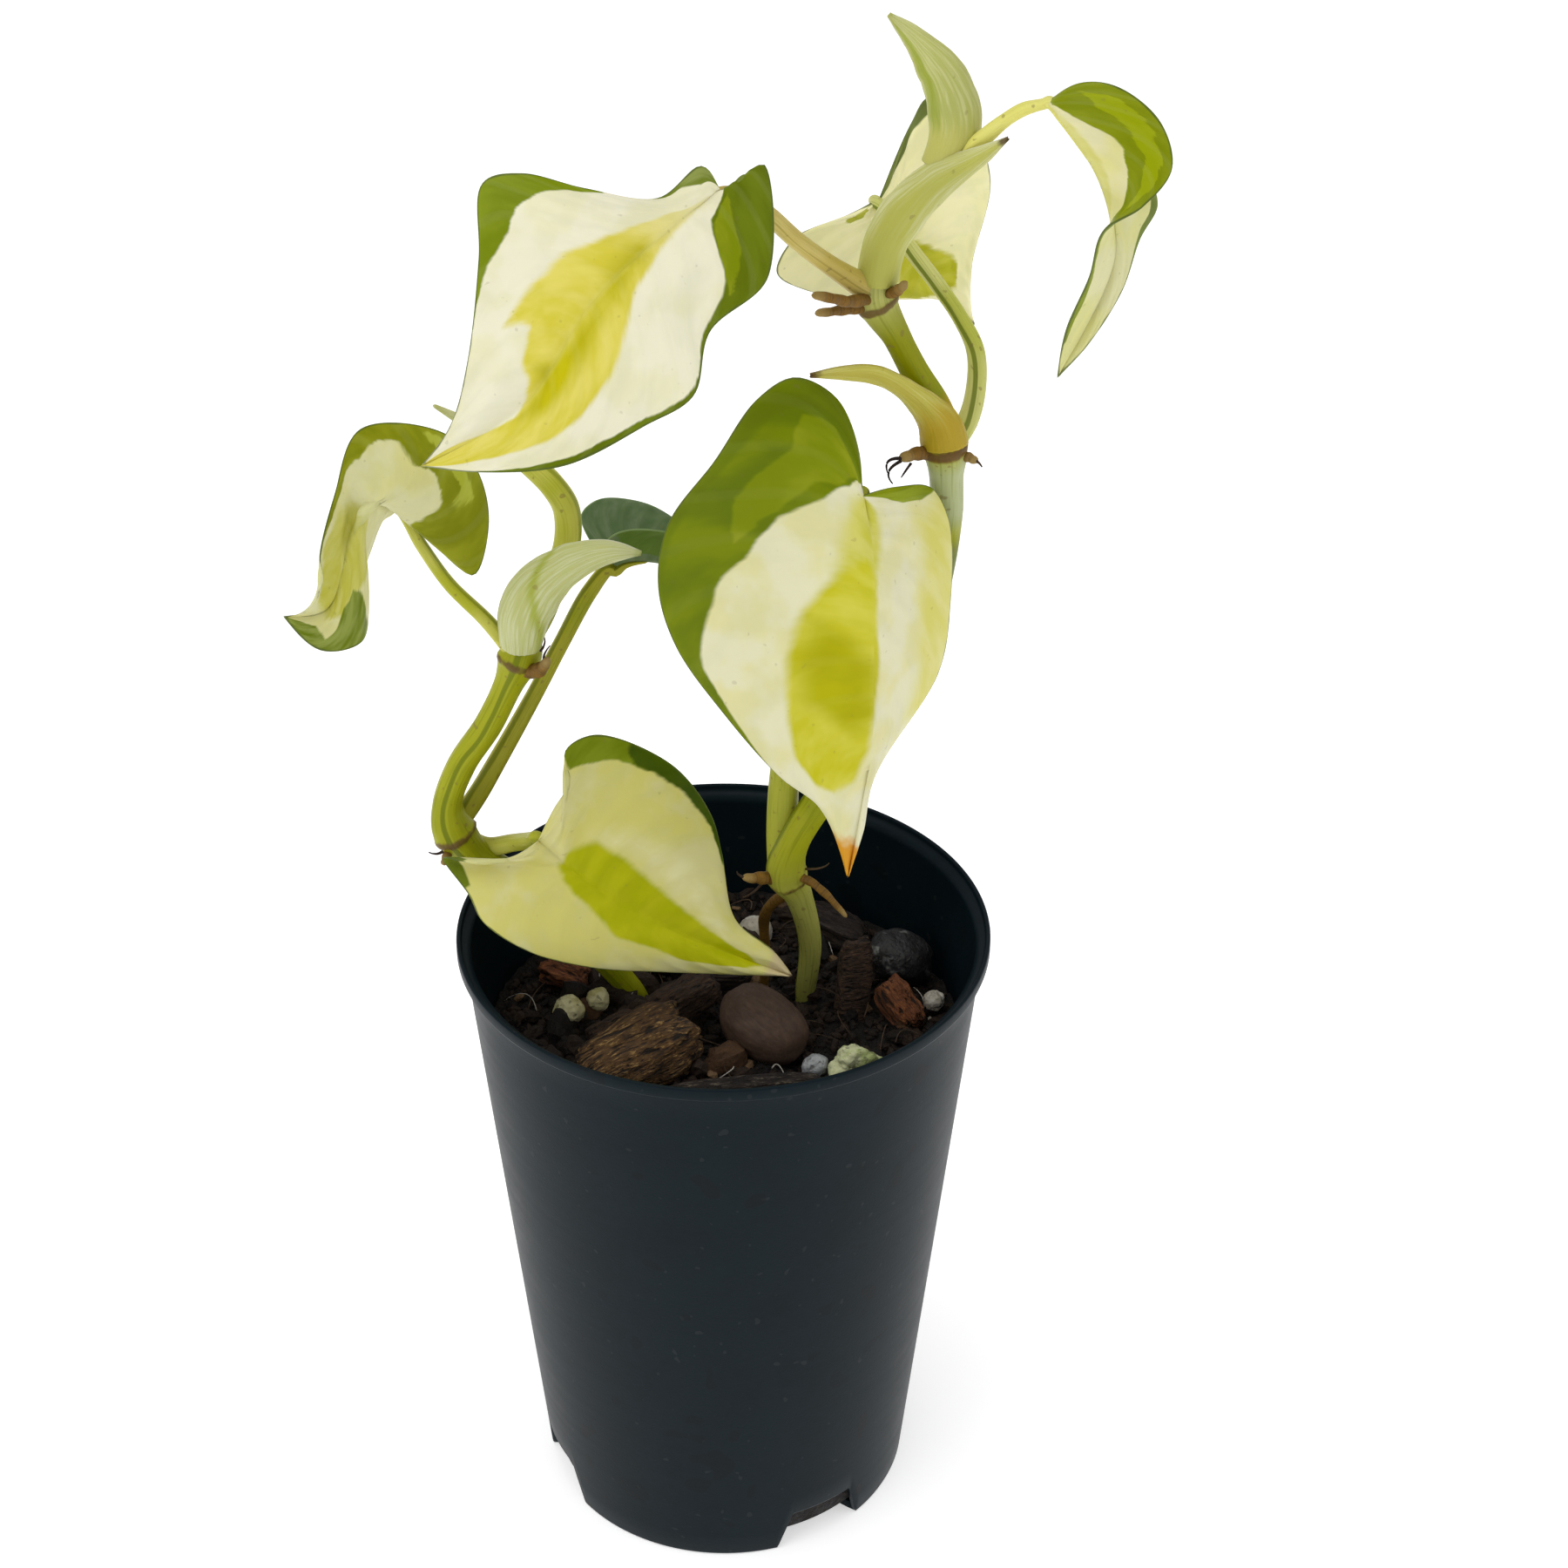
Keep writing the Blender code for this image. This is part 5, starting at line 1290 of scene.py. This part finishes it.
def mix_finish():
    """Damp mix: nearly black, with brown crumbs showing through."""
    nodes = Finish("damp_mix", Specular_IOR_Level=0.3)
    colour, value = nodes.mottle((0.008, 0.006, 0.005), 400.0, 0.6)
    colour = nodes.specks(colour, (0.022, 0.013, 0.008), 700.0, 2.0, 0.58, 0.7, 0.0, 0.8)
    return nodes.done(colour, value.between(0.3, 0.7, 0.6, 0.95), value, 1.0, 0.002)


def crumb_finish(name, dark, light, rare, share):
    """Loose bits: each between a dark and a light colour, and a share of them in a rarer one."""
    nodes = Finish(name, Specular_IOR_Level=0.3)
    tone = nodes.mark("tone")
    colour = nodes.mix(tone.between(1 - share, 1 - share + 0.01), nodes.mix(tone, dark, light), rare)
    colour, value = nodes.mottle(colour, 1500.0, 0.4)
    return nodes.done(colour, value.between(0.3, 0.7, 0.6, 0.95), value, 0.8, 0.0006)


def bark_finish(name, dark, mid, light, wet=0.0, fine=1.0):
    """Bark: fibres along the chip in three browns, dark cracks, and a rough or damp skin."""
    nodes = Finish(name, Specular_IOR_Level=0.35, Coat_Weight=wet, Coat_Roughness=0.35)
    chip = nodes.combine(nodes.mark("lengthwise") * 0.22, nodes.mark("across"), nodes.mark("deep"))
    threads = nodes.noise(chip, 7.5, 3.0)
    both = nodes.noise(chip, 2.6, 4.0) * 0.6 + threads * 0.4
    colour = nodes.mix(both.between(0.36, 0.54), dark, mid)
    colour = nodes.mix(both.between(0.54, 0.66), colour, light)
    crack = nodes.noise(chip, 1.3, 3.0).between(0.34, 0.44, 0.85 * fine, 0.0)
    colour = nodes.mottle(nodes.mix(crack, colour, (0.008, 0.005, 0.004)), 500.0, 0.25)[0]
    return nodes.done(colour, threads.between(0.3, 0.7, 0.5, 0.85), both - crack * 0.4, 0.9 * fine, 0.0012)


def stone_finish(name, base, vein, vein_share, pits, smooth=0.5, dull=0.8):
    """Stone or grain: a mottled base, a second colour in patches, and pits."""
    nodes = Finish(name, Specular_IOR_Level=0.4)
    colour, value = nodes.mottle(base, 420.0, 0.22)
    colour = nodes.specks(colour, vein, 320.0, 4.0, 1 - vein_share - 0.06, 1 - vein_share + 0.04)
    hole = nodes.noise(nodes.where, 1400.0, 1.0).between(0.3, 0.4, pits, 0.0)
    colour = nodes.mix(hole, colour, (0.05, 0.04, 0.03))
    return nodes.done(colour, value.between(0.3, 0.7, smooth, dull), value - hole * 0.5, 0.7, 0.0008)


# The plant


LEAF_SKINS = {
    "upper_left": {
        "ground": (0.84, 0.81, 0.62), "blotch": (0.8, 0.77, 0.52),
        "marks": ("feather", "core", "green", "green_lobe", "green_side", "light"), "fade": "feather",
        "ragged": 0.7,
    },
    "centre": {
        "ground": (0.76, 0.74, 0.5), "blotch": (0.74, 0.7, 0.36),
        "marks": ("midband", "yellow_side", "feather", "core", "green", "light", "dark", "green_side"),
        "changes": {
            "feather": ((0.54, 0.51, 0.01), (0.64, 0.6, 0.07)),
            "core": ((0.39, 0.37, 0.0), (0.45, 0.43, 0.0)),
            "green": ((0.125, 0.175, 0.0), (0.19, 0.24, 0.0)),
            "green_side": ((0.18, 0.23, 0.0), (0.27, 0.33, 0.01)),
        },
        "tip": (0.945, (0.66, 0.3, 0.02)), "vein": 0.02, "ragged": 0.4,
    },
    "lower_left": {
        "ground": (0.64, 0.6, 0.17), "blotch": (0.68, 0.64, 0.27),
        "marks": ("pale", "feather", "green", "dark", "green_side"),
        "changes": {
            "feather": ((0.4, 0.42, 0.0), (0.47, 0.47, 0.005)),
            "green": ((0.15, 0.2, 0.0), (0.21, 0.27, 0.01)),
            "dark": ((0.045, 0.08, 0.0), (0.06, 0.1, 0.0)),
        },
        "tip": (0.95, (0.6, 0.5, 0.27)), "vein": 0.0, "ragged": 0.5,
    },
    "curled": {
        "ground": (0.7, 0.68, 0.38), "blotch": (0.66, 0.63, 0.26),
        "marks": ("feather", "green", "light", "green_side"),
        "changes": {
            "feather": ((0.5, 0.48, 0.06), (0.58, 0.56, 0.14)),
            "green": ((0.2, 0.22, 0.0), (0.29, 0.31, 0.01)),
            "light": ((0.38, 0.41, 0.03), (0.45, 0.48, 0.06)),
            "green_side": ((0.13, 0.18, 0.0), (0.27, 0.32, 0.06)),
        },
    },
    "back_green": {
        # The grey-green ground and blotch, seen on the far half's upper side, are the leaf's green greyed by a
        # painted sheen of the white surroundings.
        "ground": (0.075, 0.125, 0.045), "blotch": (0.095, 0.15, 0.06), "marks": ("green_side",),
        "changes": {"green_side": ((0.065, 0.13, 0.0), (0.09, 0.165, 0.01))},
        "margin": (0.2, 0.28, 0.12), "vein": 0.02,
    },
    "top_right": {
        "ground": (0.74, 0.7, 0.4), "blotch": (0.72, 0.68, 0.28),
        "marks": ("feather", "green", "light", "green_side"),
        "changes": {
            "feather": ((0.62, 0.59, 0.17), (0.68, 0.65, 0.25)),
            "green": ((0.2, 0.245, 0.0), (0.235, 0.28, 0.005)),
            "light": ((0.3, 0.35, 0.0), (0.33, 0.38, 0.01)),
        },
    },
    "back_upper": {
        "ground": (0.93, 0.88, 0.53), "blotch": (0.9, 0.86, 0.47), "marks": ("feather", "green", "green_side"),
        "changes": {
            "feather": ((0.44, 0.44, 0.0), (0.56, 0.54, 0.03)),
            "green": ((0.1, 0.13, 0.03), (0.2, 0.24, 0.06)),
            "green_side": ((0.4, 0.42, 0.03), (0.5, 0.5, 0.08)),
        },
    },
}
for number, (leaf_name, skin) in enumerate(LEAF_SKINS.items(), 1):
    make_leaf(leaf_name, leaf_finish(leaf_name, number, **skin))

MID_GREEN = (0.24, 0.27, 0.0)
YELLOW_GREEN = (0.36, 0.37, 0.01)
AMBER = (0.44, 0.28, 0.0)
AMBER_LOW = (0.17, 0.085, 0.0)
# Each vine's stripe (colour, place round it, half width), then the bands of its skin.
VINE_SKINS = {
    "main_vine": (
        # The main vine's dark stripe down its left side is painted shade: the shadow between the vine and the
        # centre leaf's stalk.
        (0.15, 0.18, 0.002), 0.73, 0.08,
        (
            # The dark band at 91.5 mm is painted shade, where the vine runs beside the centre leaf.
            (103.0, 6.5, (0.42, 0.46, 0.24)), (91.5, 6.5, (0.11, 0.14, 0.0)), (112.0, 3.4, AMBER),
            (108.4, 0.8, AMBER_LOW), (121.0, 9.0, (0.27, 0.28, 0.0)), (136.0, 14.0, (0.5, 0.5, 0.16)),
            # The pale band at 30 mm is the stem's paler yellow-green foot, made lighter still as painted light
            # against the shade inside the pot.
            (30.0, 26.0, (0.5, 0.5, 0.12)),
        ),
    ),
    "side_vine": ((0.15, 0.185, 0.0), 0.97, 0.035),
}
NODE_RINGS = {
    "main_vine": ((7.4, 0, 6.6), (24.8, 4, 61.5), (16.9, 4, 78.4)),
    "side_vine": ((-32, 3, 11.4), (-23.1, 3, 35)),
}
for vine, points in VINES.items():
    vine_finish = stem_finish(vine, MID_GREEN, YELLOW_GREEN, *VINE_SKINS[vine])
    run = with_radius(points, STEM_RADIUS)
    make_bar(vine + "_stem", run, vine_finish, [vine], 320, 32, stem_profile, NODE_RINGS[vine])

# Two greens, the stripe's colour, its place round the stalk and its half width.
PETIOLE_SKINS = {
    "centre": ((0.34, 0.37, 0.01), (0.44, 0.45, 0.05), (0.12, 0.16, 0.005), 0.3, 0.07),
    "plain": ((0.42, 0.43, 0.02), (0.54, 0.53, 0.09), (0.26, 0.29, 0.01), 0.2, 0.05),
    "striped": ((0.48, 0.5, 0.08), (0.6, 0.6, 0.2), (0.13, 0.17, 0.005), 0.94, 0.06),
    "olive": ((0.32, 0.34, 0.01), (0.4, 0.38, 0.03), (0.14, 0.16, 0.002), 0.85, 0.07),
    "blush": ((0.5, 0.39, 0.09), (0.56, 0.46, 0.14), (0.36, 0.28, 0.05), 0.0, 0.04),
    "bright": ((0.74, 0.7, 0.17), (0.78, 0.75, 0.3), (0.5, 0.48, 0.06), 0.3, 0.04),
}
PETIOLE_FINISHES = {look: stem_finish("petiole_" + look, *skin) for look, skin in PETIOLE_SKINS.items()}
# Each stalk's skin, and how stout it is at its vine, in its middle and at its blade, as shares of
# its radius in the table of paths.
PETIOLE_LOOKS = {
    "upper_left": ("blush", 1.0, 0.8, 0.8), "centre": ("centre", 1.45, 1.1, 0.9),
    "lower_left": ("plain", 1.0, 1.0, 1.0), "curled": ("plain", 0.8, 0.64, 0.66),
    "back_green": ("olive", 1.0, 0.78, 0.8), "top_right": ("bright", 0.75, 0.58, 0.6),
    "back_upper": ("striped", 1.0, 0.74, 0.76), "new_leaf": ("plain", 1.1, 1.3, 1.1),
}
for leaf_name, points in PETIOLES.items():
    look, *girths = PETIOLE_LOOKS[leaf_name]
    girth = np.interp(np.linspace(0, 2, len(points)), (0, 1, 2), girths)
    run = [(*point[:3], point[3] * share) for point, share in zip(points, girth)]
    run += midrib_run(leaf_name) if leaf_name in LEAVES else []
    make_bar(
        "petiole_%s_stalk" % leaf_name, with_radius(run, PETIOLE_RADIUS), PETIOLE_FINISHES[look],
        ["petiole_" + leaf_name], 150, 24, stalk_profile,
    )
make_bar(
    "leaf_new_rolled_blade", ROLLED_LEAF,
    stem_finish("rolled_leaf", (0.5, 0.51, 0.2), (0.62, 0.61, 0.34), (0.3, 0.35, 0.08), 0.5, 0.2),
    ["leaf_new_rolled"], 120, 40, rolled_profile,
)

SHEATH_SKINS = {
    "sheath_dried": {
        "base": (0.46, 0.41, 0.06), "ribs": (0.54, 0.5, 0.14), "tip": (0.09, 0.04, 0.01),
        "centre": (0.42, 0.36, 0.05), "foot": (0.42, 0.29, 0.01), "edge": (0.3, 0.22, 0.04),
    },
    "sheath_upper": {
        "base": (0.5, 0.5, 0.14), "ribs": (0.62, 0.62, 0.3), "tip": (0.1, 0.06, 0.03),
        "centre": (0.46, 0.46, 0.08), "foot": (0.46, 0.46, 0.09),
    },
    "sheath_top": {
        "base": (0.41, 0.43, 0.13), "ribs": (0.52, 0.53, 0.23), "tip": (0.4, 0.42, 0.1),
        "centre": (0.27, 0.32, 0.02), "foot": (0.5, 0.48, 0.12), "band": (-0.55, 0.3, 0.0),
        "edge": (0.66, 0.66, 0.5),
    },
    "sheath_translucent": {
        "base": (0.46, 0.48, 0.18), "ribs": (0.56, 0.58, 0.32), "tip": (0.4, 0.44, 0.15),
        "centre": (0.33, 0.37, 0.04), "band": (0.65, 0.26, -4.3), "edge": (0.7, 0.72, 0.58),
    },
}
for sheath, (facing, points) in SHEATHS.items():
    make_sheath(sheath, facing, points, sheath_finish(sheath, **SHEATH_SKINS[sheath]))

cork = root_finish()
for root, points in ROOTS.items():
    make_bar(
        root + "_cork", points, cork, [root] if root in NODES else [], 70, 16, root_profile,
        marks={"from_tip": lambda path, travelled: travelled[-1] - travelled}, closed=0.6,
    )
for root in ("main_root_back", "main_root_front", "side_root_back", "side_root_front"):
    NODES[root].data.materials.clear()
    NODES[root].data.materials.append(cork)


# The pot and what lies in it


make_pot(pot_finish())
make_mix(mix_finish())

BARK_SKINS = {
    "golden": ((0.02, 0.01, 0.005), (0.13, 0.065, 0.02), (0.46, 0.28, 0.1)),
    "brown": ((0.016, 0.01, 0.007), (0.06, 0.032, 0.018), (0.13, 0.075, 0.042)),
    "orange": ((0.05, 0.016, 0.007), (0.2, 0.065, 0.02), (0.34, 0.13, 0.045)),
    "dark": ((0.01, 0.007, 0.006), (0.025, 0.015, 0.011), (0.07, 0.042, 0.028), 0.1),
    "sliver": ((0.012, 0.008, 0.006), (0.022, 0.014, 0.011), (0.16, 0.13, 0.09)),
}
BARK_FINISHES = {look: bark_finish("bark_" + look, *skin) for look, skin in BARK_SKINS.items()}
for chip, (*shape, look) in BARK.items():
    make_lump(chip, shape, BARK_FINISHES[look], blocky=True)

STONE_FINISHES = {
    "nugget": bark_finish(
        "nugget_bark", (0.07, 0.04, 0.025), (0.085, 0.05, 0.033), (0.105, 0.065, 0.044), fine=0.12
    ),
    "pebble": stone_finish("pebble_stone", (0.016, 0.015, 0.016), (0.2, 0.2, 0.2), 0.36, 0.3, 0.35, 0.6),
    "white": stone_finish("perlite_white", (0.42, 0.38, 0.31), (0.55, 0.52, 0.46), 0.5, 0.3),
    "yellow": stone_finish("perlite_yellow", (0.42, 0.38, 0.17), (0.56, 0.52, 0.3), 0.5, 0.5),
    "green": stone_finish("perlite_green", (0.38, 0.44, 0.16), (0.6, 0.62, 0.36), 0.5, 0.5),
    "grey": stone_finish("perlite_grey", (0.24, 0.25, 0.26), (0.36, 0.37, 0.38), 0.5, 0.4),
}
for stone, (*shape, look) in STONES.items():
    make_lump(stone, shape, STONE_FINISHES[look])

CHIP_SKIN = ((0.008, 0.006, 0.005), (0.034, 0.019, 0.011), (0.08, 0.04, 0.018), 0.05)
CRUMB_SKIN = ((0.007, 0.005, 0.004), (0.033, 0.019, 0.012), (0.2, 0.12, 0.06), 0.04)
DUST_SKIN = ((0.35, 0.32, 0.25), (0.6, 0.57, 0.48), (0.7, 0.68, 0.6), 0.2)
scatter("chips_small", 110, (2.4, 5.0), (1.5, 0.8, 0.6), 4, CHIP_SKIN, rows=6, sides=10, within=25.2)
scatter("crumbs", 2600, (0.4, 1.8), (1.8, 0.9, 0.6), 5, CRUMB_SKIN)
scatter("perlite_dust", 34, (0.5, 1.3), (1.2, 1.0, 0.9), 6, DUST_SKIN, sink=-0.1)


def make_fibres(count):
    """Hairs strewn over the mix, each from 2 to 8 mm long."""
    draw = np.random.default_rng(9)
    turn = draw.random(count) * 2 * np.pi
    out = 26.5 * np.sqrt(draw.random(count))
    start = np.stack([out * np.cos(turn), out * np.sin(turn)], axis=-1)
    way = draw.random(count) * 2 * np.pi
    long = 2 + 6 * draw.random(count)
    end = start + np.stack([np.cos(way), np.sin(way)], axis=-1) * long[:, None]
    end *= np.minimum(1, 28 / np.maximum(np.linalg.norm(end, axis=1), 1e-6))[:, None]
    starts = np.column_stack([start, mix_height(*start.T) + 0.5 + draw.random(count)])
    ends = np.column_stack([end, mix_height(*end.T) + 0.3 + 1.4 * draw.random(count)])
    sags = np.column_stack([draw.normal(size=(count, 2)) * 0.8, 0.4 + 0.8 * draw.random(count)])
    radius = 0.05 + 0.06 * draw.random(count)
    finish = crumb_finish("fibres", (0.04, 0.025, 0.015), (0.16, 0.1, 0.06), (0.6, 0.56, 0.5), 0.3)
    strands("fibres", starts, ends, sags, radius, finish, draw.random(count))


make_fibres(90)

# Dry threads at the nodes and root tips: start, end, sideways sag at the middle, and radius.
THREADS = (
    ((19.7, 0.8, 61.5), (18.2, 0.4, 60), (-0.7, 0, 0.5), 0.24),
    ((19.7, 0.8, 61.2), (18.8, 0.3, 58.7), (-0.9, 0, 0.1), 0.22),
    ((20.8, 0.9, 60.9), (19.7, 0.4, 59.4), (-0.2, 0, -0.3), 0.18),
    ((-33, -0.2, 11.0), (-34.6, -1, 11.4), (0, 0, -0.3), 0.22),
    ((-20.2, 0, 36.4), (-19.4, -0.6, 39), (-0.3, 0, 0), 0.2),
    ((-20.6, 0.6, 37.6), (-20.3, 0.2, 40.2), (0.4, 0, 0), 0.16),
    ((2.6, -2.4, 8.4), (1.6, -3.2, 9.9), (-0.3, 0, 0), 0.2),
    ((4.6, -1.6, 7.2), (2.2, -2.6, 5.8), (0, 0, -0.4), 0.2),
    ((27.9, 2.6, 60.3), (28.7, 2.1, 59.8), (0, 0, 0.2), 0.24),
    ((9.6, -0.8, 8.6), (12.4, -2.6, 10.6), (0.4, 0, -0.3), 0.18),
)
thread_starts, thread_ends, thread_sags, thread_radii = zip(*THREADS)
strands(
    "dry_threads", above_rim(thread_starts), above_rim(thread_ends), thread_sags, thread_radii,
    crumb_finish("dry_threads", (0.02, 0.01, 0.008), (0.07, 0.04, 0.02), (0.1, 0.06, 0.03), 0.1),
    np.linspace(0, 1, len(THREADS)),
)


# Camera, floor and light

CAMERA_PLACE = (0, -0.29149, 0.28652)
CAMERA_TILT, CAMERA_PAN, CAMERA_ROLL = (math.radians(angle) for angle in (32.32851, 1.39562, 0.43033))
CAMERA_LENS, CAMERA_FILM = 68, 36
FLOOR_HALF = 60.0
FLOOR_DROP = 0.0001


def add_to_scene(name, data):
    made = bpy.data.objects.new(name, data)
    bpy.context.scene.collection.objects.link(made)
    return made


def make_camera():
    """Stands in front of the pot and looks down at it, a little to its right, and hardly tilted."""
    level = math.cos(CAMERA_TILT)
    forward = Vector((math.sin(CAMERA_PAN) * level, math.cos(CAMERA_PAN) * level, -math.sin(CAMERA_TILT)))
    right = forward.cross(Vector((0, 0, 1))).normalized()
    up = right.cross(forward)
    c, s = math.cos(CAMERA_ROLL), math.sin(CAMERA_ROLL)
    camera = add_to_scene("camera", bpy.data.cameras.new("camera"))
    camera.data.lens = CAMERA_LENS
    camera.data.sensor_width = CAMERA_FILM
    camera.data.clip_start = 0.01
    camera.location = CAMERA_PLACE
    camera.rotation_mode = "QUATERNION"
    turned = Matrix((right * c + up * s, up * c - right * s, -forward)).transposed()
    camera.rotation_quaternion = turned.to_quaternion()
    bpy.context.scene.camera = camera


def make_floor():
    mesh = bpy.data.meshes.new("floor")
    corners = [(x * FLOOR_HALF, y * FLOOR_HALF, 0) for x, y in ((-1, -1), (1, -1), (1, 1), (-1, 1))]
    mesh.from_pydata(corners, [], [(0, 1, 2, 3)])
    floor = add_to_scene("floor", mesh)
    floor.location.z = -FLOOR_DROP
    nodes = Finish("floor_paper", Specular_IOR_Level=0.2, Emission_Color=(1, 1, 1), Emission_Strength=0.5)
    fibres = nodes.noise(nodes.where, 60.0, 3.0)
    colour = nodes.mix(fibres, (0.93, 0.93, 0.93), (0.96, 0.96, 0.96))
    mesh.materials.append(nodes.done(colour, fibres.between(0.3, 0.7, 0.75, 0.9)))


def make_light(name, place, size, power):
    """A soft box that faces the middle of the plant."""
    light = bpy.data.lights.new(name, "AREA")
    light.shape = "RECTANGLE"
    light.size, light.size_y = size
    light.energy = power
    lamp = add_to_scene(name, light)
    lamp.location = place
    lamp.rotation_mode = "QUATERNION"
    lamp.rotation_quaternion = (Vector((0, 0, 0.1)) - Vector(place)).to_track_quat("-Z", "Y")


make_camera()
make_floor()
make_light("softbox_over", (-0.15, -0.1, 0.85), (0.7, 0.7), 2.4)
make_light("softbox_left", (-0.6, -0.45, 0.4), (0.5, 0.6), 1.0)
make_light("softbox_right", (0.65, -0.2, 0.35), (0.4, 0.6), 0.6)
world = bpy.data.worlds.new("studio")
bpy.context.scene.world = world
world.use_nodes = True
world.node_tree.nodes["Background"].inputs["Color"].default_value = (1, 1, 1, 1)
world.node_tree.nodes["Background"].inputs["Strength"].default_value = 0.5
bpy.context.scene.view_settings.view_transform = "Standard"
